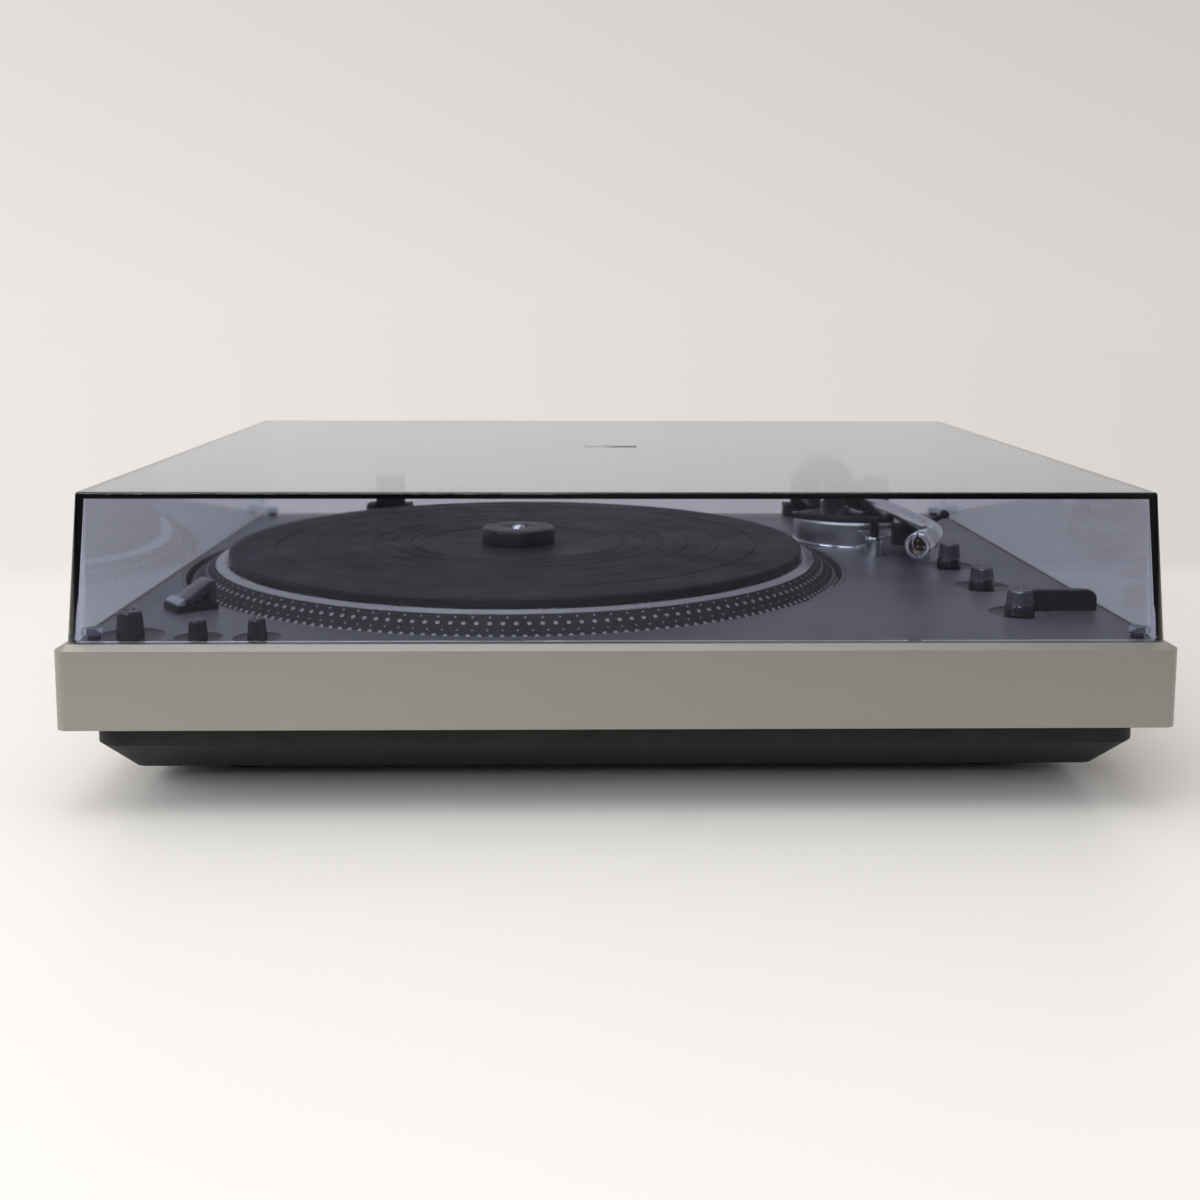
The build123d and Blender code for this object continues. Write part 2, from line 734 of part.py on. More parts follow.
with BuildPart() as arm_sleeve:
    with BuildSketch(Plane.XY.offset(deck_z - arm_sleeve_length)):
        with Locations(arm_pivot_at):
            Circle(arm_sleeve_radius)
            Circle(arm_shaft_radius + running_gap, mode=Mode.SUBTRACT)
    extrude(amount=arm_sleeve_length)
arm_sleeve.part.label = "arm_sleeve"
export_step(arm_sleeve.part, "parts/arm_sleeve.step")

# Plan of the arm: pivot, shoulder, elbow and the open end of the collar
shoulder_at = at(153.2, 200.0)
elbow_at = at(159.5, 128.0)
collar_at = at(139.1, 87.9)


def heading(start, end):
    """The unit vector in plan from one point to another."""
    length = hypot(end[0] - start[0], end[1] - start[1])
    return ((end[0] - start[0]) / length, (end[1] - start[1]) / length)


def along(start, direction, distance):
    """The point in plan at a distance from another one, at the height of the arm."""
    return (start[0] + direction[0] * distance, start[1] + direction[1] * distance, arm_z)


arm_forward = heading(arm_pivot_at, shoulder_at)
arm_back = (-arm_forward[0], -arm_forward[1])
arm_across = (-arm_forward[1], arm_forward[0])
collar_back = heading(collar_at, elbow_at)
pivot_point = (arm_pivot_at[0], arm_pivot_at[1], arm_z)
back_plane = Plane(
    origin=pivot_point,
    x_dir=(arm_across[0], arm_across[1], 0),
    z_dir=(arm_back[0], arm_back[1], 0),
)

# Yoke: turns on the base and carries the arm's level pivots in its two cheeks
yoke_z = base_top_z + yoke_lift
shaft_bottom_z = deck_z - arm_sleeve_length + 1
slot_angle = degrees(atan(arm_forward[0] / -arm_forward[1]))
with BuildPart() as arm_yoke:
    with BuildSketch(Plane.XY.offset(yoke_z)):
        with Locations(arm_pivot_at):
            Circle(yoke_radius)
    extrude(amount=yoke_height)
    fillet(arm_yoke.edges().group_by(Axis.Z)[-1], 1.2)
    with BuildSketch(Plane.XY.offset(yoke_z + yoke_floor)):
        with Locations(arm_pivot_at):
            Rectangle(yoke_slot, 3 * yoke_radius, rotation=slot_angle)
    extrude(amount=yoke_height, mode=Mode.SUBTRACT)
    with BuildSketch(Plane.XY.offset(shaft_bottom_z)):
        with Locations(arm_pivot_at):
            Circle(arm_shaft_radius)
    extrude(amount=yoke_z - shaft_bottom_z)
    with BuildSketch(Plane(origin=pivot_point, z_dir=(arm_across[0], arm_across[1], 0))):
        Circle(pivot_pin_radius + 2 * running_gap)
    extrude(amount=yoke_radius - 1.5, both=True, mode=Mode.SUBTRACT)
arm_yoke.part.label = "arm_yoke"
export_step(arm_yoke.part, "parts/arm_yoke.step")

# Gimbal block with its two pivot pins: the arm tube and the rear stub are fixed in it
with BuildPart() as gimbal_block:
    with BuildSketch(back_plane):
        Circle(gimbal_radius)
    extrude(amount=gimbal_half, both=True)
    with BuildSketch(Plane(origin=pivot_point, z_dir=(arm_across[0], arm_across[1], 0))):
        Circle(pivot_pin_radius)
    extrude(amount=yoke_radius - 3, both=True)
gimbal_block.part.label = "gimbal_block"
export_step(gimbal_block.part, "parts/gimbal_block.step")

# Arm tube: a bent aluminium tube from the gimbal block to the collar
tube_start = along(arm_pivot_at, arm_forward, gimbal_half)
tube_end = along(collar_at, collar_back, collar_length)
with BuildPart() as arm_tube:
    with BuildLine():
        FilletPolyline(
            tube_start,
            (shoulder_at[0], shoulder_at[1], arm_z),
            (elbow_at[0], elbow_at[1], arm_z),
            tube_end,
            radius=[shoulder_radius, elbow_radius],
        )
    with BuildSketch(Plane(origin=tube_start, z_dir=(arm_forward[0], arm_forward[1], 0))):
        Circle(tube_radius)
        Circle(tube_radius - tube_wall, mode=Mode.SUBTRACT)
    sweep()
arm_tube.part.label = "arm_tube"
export_step(arm_tube.part, "parts/arm_tube.step")

# Collar: the locking nut and socket that take a plug-in headshell
collar_point = (collar_at[0], collar_at[1], arm_z)
collar_plane = Plane(
    origin=collar_point,
    x_dir=(-collar_back[1], collar_back[0], 0),
    z_dir=(collar_back[0], collar_back[1], 0),
)
nut_length = 11.0
neck_length = 4.0
plug_face = 7.0
plug_radius = 3.7
socket_depth = 16.0
with BuildPart() as arm_collar:
    with BuildSketch(collar_plane):
        Circle(collar_radius)
    extrude(amount=nut_length)
    chamfer(arm_collar.edges(), 0.5)
    with BuildSketch(collar_plane.offset(nut_length)):
        Circle(collar_radius - 0.6)
    extrude(amount=collar_length - neck_length - nut_length)
    with BuildSketch(collar_plane.offset(collar_length - neck_length)):
        Circle(collar_radius - 0.6)
    extrude(amount=neck_length, taper=degrees(atan((collar_radius - 0.6 - tube_radius) / neck_length)))
    with BuildSketch(collar_plane):
        Circle(collar_bore)
    extrude(amount=plug_face, mode=Mode.SUBTRACT)
    with BuildSketch(collar_plane.offset(plug_face)):
        Circle(plug_radius)
    extrude(amount=socket_depth - plug_face, mode=Mode.SUBTRACT)
    with BuildSketch(collar_plane):
        Rectangle(collar_slot, 4 * collar_radius)
    extrude(amount=4.0, mode=Mode.SUBTRACT)
arm_collar.part.label = "arm_collar"
export_step(arm_collar.part, "parts/arm_collar.step")

contact_spread = 3.0
contact_radius = 0.5
contact_length = 1.0
with BuildPart() as socket_plug:
    with BuildSketch(collar_plane.offset(plug_face)):
        Circle(plug_radius)
    extrude(amount=socket_depth - plug_face)
    with BuildSketch(collar_plane.offset(plug_face)):
        with GridLocations(contact_spread, contact_spread, 2, 2):
            Circle(contact_radius)
    extrude(amount=contact_length, mode=Mode.SUBTRACT)
socket_plug.part.label = "socket_plug"
export_step(socket_plug.part, "parts/socket_plug.step")

with BuildPart() as socket_contacts:
    with BuildSketch(collar_plane.offset(plug_face)):
        with GridLocations(contact_spread, contact_spread, 2, 2):
            Circle(contact_radius)
    extrude(amount=contact_length)
socket_contacts.part.label = "socket_contacts"
export_step(socket_contacts.part, "parts/socket_contacts.step")

# Rear stub, tracking-force dial and counterweight
with BuildPart() as rear_stub:
    with BuildSketch(back_plane.offset(gimbal_half)):
        Circle(tube_radius)
    extrude(amount=stub_length - gimbal_half)
    chamfer(rear_stub.edges().sort_by(Axis.Y)[-1], 0.6)
rear_stub.part.label = "rear_stub"
export_step(rear_stub.part, "parts/rear_stub.step")

with BuildPart() as force_dial:
    with BuildSketch(back_plane.offset(dial_start)):
        Circle(dial_radius)
        Circle(tube_radius + running_gap, mode=Mode.SUBTRACT)
    extrude(amount=dial_width)
force_dial.part.label = "force_dial"
export_step(force_dial.part, "parts/force_dial.step")

with BuildPart() as counterweight:
    with BuildSketch(back_plane.offset(weight_start)):
        Circle(weight_radius)
        Circle(tube_radius + running_gap, mode=Mode.SUBTRACT)
    extrude(amount=weight_length)
    chamfer(counterweight.edges().filter_by(GeomType.CIRCLE).group_by(SortBy.RADIUS)[-1], 1.0)
counterweight.part.label = "counterweight"
export_step(counterweight.part, "parts/counterweight.step")

# Lifter: a damped piston with a curved bar under the arm tube
lifter_top_z = arm_z - tube_radius - lifter_clear
bar_z = lifter_top_z - lifter_bar_height
cylinder_top_z = deck_z + lifter_cylinder_height
cylinder_bottom_z = chassis_z - 6.0
shaft_in_cylinder = 8.0
bar_start = 282.0
bar_sweep = 62.0
with BuildPart() as lifter_cylinder:
    with BuildSketch(Plane.XY.offset(cylinder_bottom_z)):
        with Locations(lifter_at):
            Circle(lifter_cylinder_radius)
    extrude(amount=cylinder_top_z - cylinder_bottom_z)
    fillet(lifter_cylinder.edges().group_by(Axis.Z)[-1], 0.6)
    with BuildSketch(Plane.XY.offset(cylinder_bottom_z + 1)):
        with Locations(lifter_at):
            Circle(lifter_shaft_radius + 2 * running_gap)
    extrude(amount=cylinder_top_z - cylinder_bottom_z, mode=Mode.SUBTRACT)
lifter_cylinder.part.label = "lifter_cylinder"
export_step(lifter_cylinder.part, "parts/lifter_cylinder.step")

with BuildPart() as lifter_bar:
    with BuildSketch(Plane.XY.offset(bar_z)):
        with Locations(arm_pivot_at):
            with BuildSketch(mode=Mode.PRIVATE) as bar_arc:
                with BuildLine():
                    bar_line = CenterArc((0, 0), lifter_reach, bar_start - bar_sweep, bar_sweep)
                trace(bar_line, lifter_bar_width)
            add(bar_arc.sketch)
    extrude(amount=lifter_bar_height)
    with BuildSketch(Plane.XY.offset(cylinder_top_z - shaft_in_cylinder)):
        with Locations(lifter_at):
            Circle(lifter_shaft_radius)
    extrude(amount=bar_z - cylinder_top_z + shaft_in_cylinder)
lifter_bar.part.label = "lifter_bar"
export_step(lifter_bar.part, "parts/lifter_bar.step")

# Arm rest: a bracket on the shelf with a cradle under the tube and a small swinging clip
rest_from_front = 182.0
rest_half = 4.0
rest_tube_x = 154.8
bracket_x = (158.5, 167.0)
bracket_back = 222.0
bracket_thickness = 4.0
cradle_clear = 0.4
prong_gap = 0.7
prong_thickness = 2.4
prong_height = 5.0
clip_x = 165.4
clip_pin_radius = 1.2
clip_hub_radius = 2.6
clip_z = arm_z - 4.5
rest_y = front_y + rest_from_front
cradle_top_z = arm_z - tube_radius - cradle_clear
prong_x = rest_tube_x + tube_radius + prong_gap
bracket_at = at((bracket_x[0] + bracket_x[1]) / 2, (rest_from_front - rest_half + bracket_back) / 2)
with BuildPart() as arm_rest:
    with BuildSketch(Plane.XY.offset(shelf_z)):
        with Locations(bracket_at):
            Rectangle(bracket_x[1] - bracket_x[0], bracket_back - rest_from_front + rest_half)
    extrude(amount=bracket_thickness)
    with BuildSketch(Plane.XZ.offset(-rest_y - rest_half)):
        with BuildLine():
            Polyline(
                (rest_tube_x - 6, shelf_z),
                (bracket_x[1], shelf_z),
                (bracket_x[1], clip_z - clip_hub_radius - 0.6),
                (prong_x + prong_thickness, clip_z - clip_hub_radius - 0.6),
                (prong_x + prong_thickness, cradle_top_z + prong_height),
                (prong_x, cradle_top_z + prong_height),
                (prong_x, cradle_top_z),
                (rest_tube_x - 6, cradle_top_z),
                close=True,
            )
        make_face()
    extrude(amount=2 * rest_half)
    with BuildSketch(Plane.XZ.offset(-rest_y - rest_half)):
        with Locations((clip_x - 1.0, clip_z)):
            Rectangle(5.6, 2 * clip_hub_radius + 1.2)
    extrude(amount=2.0)
    with BuildSketch(Plane.XZ.offset(-rest_y - rest_half)):
        with Locations((clip_x, clip_z)):
            Circle(clip_pin_radius)
    extrude(amount=2 * rest_half)
arm_rest.part.label = "arm_rest"
export_step(arm_rest.part, "parts/arm_rest.step")

clip_tip = (clip_x + 10.0, clip_z + 5.6)
clip_tip_radius = 2.2
clip_width = 3.6
clip_bar = 2.2
clip_angle = degrees(atan((clip_tip[1] - clip_z) / (clip_tip[0] - clip_x)))
clip_reach = hypot(clip_tip[0] - clip_x, clip_tip[1] - clip_z)
clip_plane = Plane.XZ.offset(-rest_y + 0.4)
with BuildPart() as rest_clip:
    with BuildSketch(clip_plane):
        with Locations((clip_x, clip_z)):
            Circle(clip_hub_radius)
        with Locations(((clip_x + clip_tip[0]) / 2, (clip_z + clip_tip[1]) / 2)):
            Rectangle(clip_reach, clip_bar, rotation=clip_angle)
        with Locations(clip_tip):
            Circle(clip_tip_radius)
        with Locations((clip_x, clip_z)):
            Circle(clip_pin_radius + 2 * running_gap, mode=Mode.SUBTRACT)
    extrude(amount=clip_width)
rest_clip.part.label = "rest_clip"
export_step(rest_clip.part, "parts/rest_clip.step")

# Anti-skate dial on the shelf, turning on a short shaft
antiskate_radius = 5.6
antiskate_height = 5.5
dial_gap = 0.1
with BuildPart() as antiskate_dial:
    with BuildSketch(Plane.XY.offset(shelf_z - antiskate_depth + dial_gap)):
        with Locations(antiskate_at):
            Circle(antiskate_shaft)
    extrude(amount=antiskate_depth)
    with BuildSketch(Plane.XY.offset(shelf_z + dial_gap)):
        with Locations(antiskate_at):
            Circle(antiskate_radius)
    extrude(amount=antiskate_height, taper=3)
    fillet(antiskate_dial.edges().group_by(Axis.Z)[-1], 0.8)
antiskate_dial.part.label = "antiskate_dial"
export_step(antiskate_dial.part, "parts/antiskate_dial.step")

# Dust cover: moulded smoke acrylic, open below, notched at the rear for its two hinges
lid_width = width - 2 * bevel_run + 0.4
lid_depth = depth - 2 * lid_front_setback + 0.3
lid_taper = degrees(atan(lid_draft / lid_height))
hinge_axis_y = rear_y - hinge_from_rear
hinge_axis_z = deck_z + hinge_rise
notch_z = hinge_axis_z + hinge_knuckle + hinge_notch_gap
bumper_x = lid_width / 2 - bumper_inset
bumper_y = lid_depth / 2 - bumper_inset
with BuildPart() as dust_cover:
    with BuildSketch(Plane.XY.offset(lid_z)):
        RectangleRounded(lid_width, lid_depth, lid_corner)
    extrude(amount=lid_height, taper=lid_taper)
    fillet(dust_cover.edges().group_by(Axis.Z)[-1], 1.0)
    with BuildSketch(Plane.XY.offset(lid_z)):
        RectangleRounded(lid_width - 2 * lid_wall, lid_depth - 2 * lid_wall, lid_corner - 0.4)
    extrude(amount=lid_height - lid_wall, taper=lid_taper, mode=Mode.SUBTRACT)
    with BuildSketch(Plane.XY.offset(lid_z + 1)):
        with GridLocations(2 * bumper_x, 2 * bumper_y, 2, 2):
            Circle(bumper_radius + bumper_wall)
        with GridLocations(2 * bumper_x + bumper_inset - lid_wall, 2 * bumper_y, 2, 2):
            Rectangle(bumper_inset - lid_wall + 1.0, 2.0)
    extrude(amount=bumper_boss)
    for x in hinge_x:
        with BuildSketch(Plane.XZ.offset(-rear_y)):
            with Locations((x, (lid_z + notch_z) / 2)):
                Rectangle(hinge_width + 2 * hinge_notch_gap, notch_z - lid_z)
        extrude(amount=3 * lid_wall, mode=Mode.SUBTRACT)
    with BuildSketch(Plane.XY.offset(lid_top_z - lid_badge_sunk)):
        with Locations(at(0, lid_badge_from_front)):
            Rectangle(*lid_badge_size)
    extrude(amount=lid_badge_sunk, mode=Mode.SUBTRACT)
dust_cover.part.label = "dust_cover"
export_step(dust_cover.part, "parts/dust_cover.step")

with BuildPart() as lid_badge:
    with BuildSketch(Plane.XY.offset(lid_top_z - lid_badge_sunk)):
        with Locations(at(0, lid_badge_from_front)):
            Rectangle(lid_badge_size[0] - 0.2, lid_badge_size[1] - 0.2)
    extrude(amount=lid_badge_thickness)
lid_badge.part.label = "lid_badge"
export_step(lid_badge.part, "parts/lid_badge.step")

with BuildPart() as lid_bumpers:
    with BuildSketch(Plane.XY.offset(deck_z + pad_gap)):
        with GridLocations(2 * bumper_x, 2 * bumper_y, 2, 2):
            Circle(bumper_radius)
    extrude(amount=lid_gap + 1 - pad_gap)
lid_bumpers.part.label = "lid_bumpers"
export_step(lid_bumpers.part, "parts/lid_bumpers.step")

# Hinges: forked brackets on the rear rim, pins, and leaves up the inside of the cover's rear wall
bracket_length = 15.0
bracket_plate = 0.8
bracket_rise = hinge_rise + hinge_knuckle
with BuildPart() as hinge_brackets:
    for x in hinge_x:
        for side in (-1, 1):
            cheek_x = x + side * (hinge_width - hinge_cheek) / 2
            with BuildSketch(Plane.YZ.offset(cheek_x - hinge_cheek / 2)):
                with Locations((hinge_axis_y, hinge_axis_z)):
                    Circle(hinge_knuckle)
                with Locations((hinge_axis_y - bracket_length / 2, deck_z + bracket_rise / 2)):
                    Rectangle(bracket_length, bracket_rise)
                with Locations((hinge_axis_y + 1, deck_z + hinge_rise / 2)):
                    Rectangle(2, hinge_rise)
                with Locations((hinge_axis_y, hinge_axis_z)):
                    Circle(hinge_pin_radius, mode=Mode.SUBTRACT)
            extrude(amount=hinge_cheek)
        with BuildSketch(Plane.XY.offset(deck_z)):
            with Locations((x, hinge_axis_y - bracket_length / 2)):
                Rectangle(hinge_width, bracket_length)
        extrude(amount=bracket_plate)
hinge_brackets.part.label = "hinge_brackets"
export_step(hinge_brackets.part, "parts/hinge_brackets.step")

with BuildPart() as hinge_pins:
    for x in hinge_x:
        with BuildSketch(Plane.YZ.offset(x - hinge_width / 2)):
            with Locations((hinge_axis_y, hinge_axis_z)):
                Circle(hinge_pin_radius)
        extrude(amount=hinge_width)
hinge_pins.part.label = "hinge_pins"
export_step(hinge_pins.part, "parts/hinge_pins.step")

leaf_width = hinge_width - 2 * hinge_cheek - 2 * fit_gap
draft_slope = lid_draft / lid_height


def lid_rear_inside(z):
    """How far back the inside of the cover's rear wall is, at a height."""
    return lid_depth / 2 - lid_wall - draft_slope * (z - lid_z)


leaf_bottom_z = notch_z + 0.3
leaf_top_z = leaf_bottom_z + leaf_height
with BuildPart() as hinge_leaves:
    for x in hinge_x:
        with BuildSketch(Plane.YZ.offset(x - leaf_width / 2)):
            with Locations((hinge_axis_y, hinge_axis_z)):
                Circle(hinge_knuckle)
            with BuildLine():
                Polyline(
                    (hinge_axis_y, hinge_axis_z + hinge_knuckle),
                    (lid_rear_inside(leaf_bottom_z), hinge_axis_z + hinge_knuckle),
                    (lid_rear_inside(leaf_bottom_z), leaf_bottom_z),
                    (lid_rear_inside(leaf_top_z), leaf_top_z),
                    (lid_rear_inside(leaf_top_z) - leaf_thickness, leaf_top_z),
                    (lid_rear_inside(leaf_bottom_z) - leaf_thickness, leaf_bottom_z - 2.5),
                    (hinge_axis_y - hinge_knuckle + 0.4, hinge_axis_z + 1.2),
                    (hinge_axis_y, hinge_axis_z),
                    close=True,
                )
            make_face()
            with Locations((hinge_axis_y, hinge_axis_z)):
                Circle(hinge_pin_radius + 2 * running_gap, mode=Mode.SUBTRACT)
        extrude(amount=leaf_width)
hinge_leaves.part.label = "hinge_leaves"
export_step(hinge_leaves.part, "parts/hinge_leaves.step")

# Rear sockets: a recessed phono terminal box with its earth post, and a recessed mains inlet
recess = 16.0
box_wall = 1.8
with BuildPart() as terminal_box:
    with BuildSketch(Plane.XZ.offset(-rear_y + recess + box_wall)):
        with Locations((terminal_x, socket_z)):
            Rectangle(terminal_size[0] - 2 * fit_gap, terminal_size[1] - 2 * fit_gap)
    extrude(amount=-recess - box_wall)
    with BuildSketch(Plane.XZ.offset(-rear_y + recess)):
        with Locations((terminal_x, socket_z)):
            Rectangle(terminal_size[0] - 2 * box_wall, terminal_size[1] - 2 * box_wall)
    extrude(amount=-recess, mode=Mode.SUBTRACT)
terminal_box.part.label = "terminal_box"
export_step(terminal_box.part, "parts/terminal_box.step")

phono_spread = 20.0
phono_x = terminal_x - 10.0
earth_x = terminal_x + 20.0
phono_length = 9.0
earth_length = 9.0
with BuildPart() as phono_sockets:
    with BuildSketch(Plane.XZ.offset(-rear_y + recess)):
        with Locations((phono_x - phono_spread / 2, socket_z), (phono_x + phono_spread / 2, socket_z)):
            Circle(4.1)
            Circle(1.6, mode=Mode.SUBTRACT)
    extrude(amount=-phono_length)
phono_sockets.part.label = "phono_sockets"
export_step(phono_sockets.part, "parts/phono_sockets.step")

nut_start = 3.0
earth_nut = 4.5
with BuildPart() as earth_terminal:
    with BuildSketch(Plane.XZ.offset(-rear_y + recess)):
        with Locations((earth_x, socket_z)):
            Circle(2.0)
    extrude(amount=-earth_length)
    with BuildSketch(Plane.XZ.offset(-rear_y + recess - nut_start)):
        with Locations((earth_x, socket_z)):
            Circle(4.2)
    extrude(amount=-earth_nut)
earth_terminal.part.label = "earth_terminal"
export_step(earth_terminal.part, "parts/earth_terminal.step")

inlet_pin_length = 10.0
with BuildPart() as mains_inlet:
    with BuildSketch(Plane.XZ.offset(-rear_y + recess + 4)):
        with Locations((inlet_x, socket_z)):
            Rectangle(inlet_size[0] - 2 * fit_gap, inlet_size[1] - 2 * fit_gap)
    extrude(amount=-recess - 4)
    with BuildSketch(Plane.XZ.offset(-rear_y + recess)):
        with Locations((inlet_x, socket_z)):
            SlotOverall(18.0, 10.0)
    extrude(amount=-recess, mode=Mode.SUBTRACT)
    with BuildSketch(Plane.XZ.offset(-rear_y + recess)):
        with Locations((inlet_x - 4.3, socket_z), (inlet_x + 4.3, socket_z)):
            Circle(1.2)
    extrude(amount=-inlet_pin_length)
mains_inlet.part.label = "mains_inlet"
export_step(mains_inlet.part, "parts/mains_inlet.step")

# Power transformer on its bracket, in the left rear of the tub
transformer_at = (-112.0, 62.0)
core_size = (50.0, 40.0, 34.0)
bracket_margin = 7.0
strap = 2.0
with BuildPart() as transformer_bracket:
    with BuildSketch(Plane.XY.offset(tub_floor_z)):
        with Locations(transformer_at):
            Rectangle(core_size[0] + 4 * bracket_margin, core_size[1])
    extrude(amount=strap)
    with BuildSketch(Plane.XY.offset(tub_floor_z)):
        with Locations(transformer_at):
            Rectangle(core_size[0] + 2 * strap, core_size[1] - 8)
            Rectangle(core_size[0], core_size[1] - 8, mode=Mode.SUBTRACT)
    extrude(amount=core_size[2] + 2 * strap)
    with BuildSketch(Plane.XY.offset(tub_floor_z + strap + core_size[2])):
        with Locations(transformer_at):
            Rectangle(core_size[0] + 2 * strap, core_size[1] - 8)
    extrude(amount=strap)
transformer_bracket.part.label = "transformer_bracket"
export_step(transformer_bracket.part, "parts/transformer_bracket.step")

window_width = 30.0
with BuildPart() as transformer_core:
    with BuildSketch(Plane.XY.offset(tub_floor_z + strap)):
        with Locations(transformer_at):
            Rectangle(core_size[0], core_size[1] - 8)
    extrude(amount=core_size[2])
    with BuildSketch(Plane.XZ.offset(-transformer_at[1] - core_size[1])):
        with Locations((transformer_at[0], tub_floor_z + strap + core_size[2] / 2)):
            Rectangle(window_width, core_size[2] - 14)
    extrude(amount=2 * core_size[1], mode=Mode.SUBTRACT)
transformer_core.part.label = "transformer_core"
export_step(transformer_core.part, "parts/transformer_core.step")

with BuildPart() as transformer_coil:
    with BuildSketch(Plane.XZ.offset(-transformer_at[1] - core_size[1] / 2)):
        with Locations((transformer_at[0], tub_floor_z + strap + core_size[2] / 2)):
            Rectangle(window_width, core_size[2] - 14)
    extrude(amount=core_size[1])
transformer_coil.part.label = "transformer_coil"
export_step(transformer_coil.part, "parts/transformer_coil.step")

# Drive board with its capacitors, chips and heat sink
board_z = tub_floor_z + board_lift
with BuildPart() as drive_board:
    with BuildSketch(Plane.XY.offset(board_z)):
        with Locations(board_at):
            Rectangle(*board_size)
    extrude(amount=board_thickness)
drive_board.part.label = "drive_board"
export_step(drive_board.part, "parts/drive_board.step")

capacitor_height = 20.0
with BuildPart() as board_components:
    with BuildSketch(Plane.XY.offset(board_z + board_thickness)):
        with Locations(board_at):
            with Locations((-50, 20), (-30, 20), (-50, -5)):
                Circle(7)
    extrude(amount=capacitor_height)
    with BuildSketch(Plane.XY.offset(board_z + board_thickness)):
        with Locations(board_at):
            with GridLocations(34, 0, 2, 1):
                Rectangle(22, 9)
            with Locations((20, -28)):
                Rectangle(60, 12)
    extrude(amount=4.5)
board_components.part.label = "board_components"
export_step(board_components.part, "parts/board_components.step")
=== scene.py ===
import json
from math import cos, pi, radians, sin

import bmesh
import bpy
from mathutils import Matrix, Vector


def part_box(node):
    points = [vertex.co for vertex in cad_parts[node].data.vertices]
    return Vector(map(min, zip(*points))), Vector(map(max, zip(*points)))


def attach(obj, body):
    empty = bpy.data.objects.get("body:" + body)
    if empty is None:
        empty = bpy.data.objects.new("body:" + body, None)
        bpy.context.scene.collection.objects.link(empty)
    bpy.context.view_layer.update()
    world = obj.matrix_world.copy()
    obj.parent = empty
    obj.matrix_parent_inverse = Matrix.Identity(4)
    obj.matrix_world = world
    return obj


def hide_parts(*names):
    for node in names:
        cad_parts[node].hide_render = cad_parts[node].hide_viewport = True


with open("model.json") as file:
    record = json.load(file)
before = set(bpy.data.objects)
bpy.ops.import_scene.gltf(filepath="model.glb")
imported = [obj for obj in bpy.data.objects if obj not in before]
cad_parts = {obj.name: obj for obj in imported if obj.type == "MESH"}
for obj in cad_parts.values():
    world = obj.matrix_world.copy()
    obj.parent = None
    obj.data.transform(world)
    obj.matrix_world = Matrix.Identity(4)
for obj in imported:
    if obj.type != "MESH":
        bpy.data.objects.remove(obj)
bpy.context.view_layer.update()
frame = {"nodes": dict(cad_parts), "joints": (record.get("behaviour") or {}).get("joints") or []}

bpy.ops.object.select_all(action="DESELECT")
bpy.context.scene.view_settings.view_transform = "Standard"
mm = 0.001


# The room: a pale, softly polished floor whose far part glows with painted light in the lit tone of a plain pale
# wall, lighter to the left, with the darker side of the room in front. The lamps are large and soft, and the
# viewpoint is low.
wall_low = (0.765, 0.74, 0.71, 1)
wall_high = (0.68, 0.655, 0.635, 1)
side_light = (1.12, 1.12, 1.12, 1)
side_shade = (0.88, 0.88, 0.88, 1)
room_dark = (0.05, 0.05, 0.055, 1)
room_light = (0.50, 0.50, 0.52, 1)
floor_pale = (0.80, 0.785, 0.76, 1)
floor_dark = (0.16, 0.16, 0.16, 1)

bpy.ops.mesh.primitive_circle_add(vertices=96, radius=6.0, fill_type="NGON", location=(0, 0, -0.0002))
floor = bpy.context.object
floor.name = "floor"
bpy.ops.object.mode_set(mode="EDIT")
bpy.ops.mesh.inset(thickness=4.5)
bpy.ops.object.mode_set(mode="OBJECT")
floor_finish = bpy.data.materials.new("pale_floor")
floor_finish.use_nodes = True
tree = floor_finish.node_tree
shader = tree.nodes["Principled BSDF"]
place = tree.nodes.new("ShaderNodeTexCoord")
parts = tree.nodes.new("ShaderNodeSeparateXYZ")
near = tree.nodes.new("ShaderNodeMapRange")
near.interpolation_type = "SMOOTHSTEP"
near.inputs["From Min"].default_value = -0.85
near.inputs["From Max"].default_value = -0.45
shade = tree.nodes.new("ShaderNodeMix")
shade.data_type = "RGBA"
shade.inputs["A"].default_value = floor_dark
shade.inputs["B"].default_value = floor_pale
cloud = tree.nodes.new("ShaderNodeTexNoise")
cloud.inputs["Scale"].default_value = 14.0
cloud.inputs["Detail"].default_value = 6.0
gloss = tree.nodes.new("ShaderNodeMapRange")
gloss.inputs["To Min"].default_value = 0.22
gloss.inputs["To Max"].default_value = 0.42
far = tree.nodes.new("ShaderNodeMapRange")
far.interpolation_type = "SMOOTHSTEP"
far.inputs["From Min"].default_value = 0.31
far.inputs["From Max"].default_value = 0.40
reach = tree.nodes.new("ShaderNodeMath")
reach.operation = "ADD"
reach.inputs[1].default_value = 0.74
slant = tree.nodes.new("ShaderNodeMath")
slant.operation = "DIVIDE"
across = tree.nodes.new("ShaderNodeMapRange")
across.inputs["From Min"].default_value = -0.5
across.inputs["From Max"].default_value = 0.5
wash = tree.nodes.new("ShaderNodeMix")
wash.data_type = "RGBA"
wash.inputs["A"].default_value = side_light
wash.inputs["B"].default_value = side_shade
wall_tone = tree.nodes.new("ShaderNodeMix")
wall_tone.data_type = "RGBA"
wall_tone.blend_type = "MULTIPLY"
wall_tone.inputs["Factor"].default_value = 1.0
wall_tone.inputs["A"].default_value = wall_low
# Painted light: the floor's far part is an emission in the wall's lit tone, lighter to the left, and is not lit by
# the lamps.
painted_wall_glow = tree.nodes.new("ShaderNodeEmission")
blend = tree.nodes.new("ShaderNodeMixShader")
tree.links.new(place.outputs["Object"], parts.inputs["Vector"])
tree.links.new(parts.outputs["Y"], near.inputs["Value"])
tree.links.new(parts.outputs["Y"], far.inputs["Value"])
tree.links.new(near.outputs["Result"], shade.inputs["Factor"])
tree.links.new(shade.outputs["Result"], shader.inputs["Base Color"])
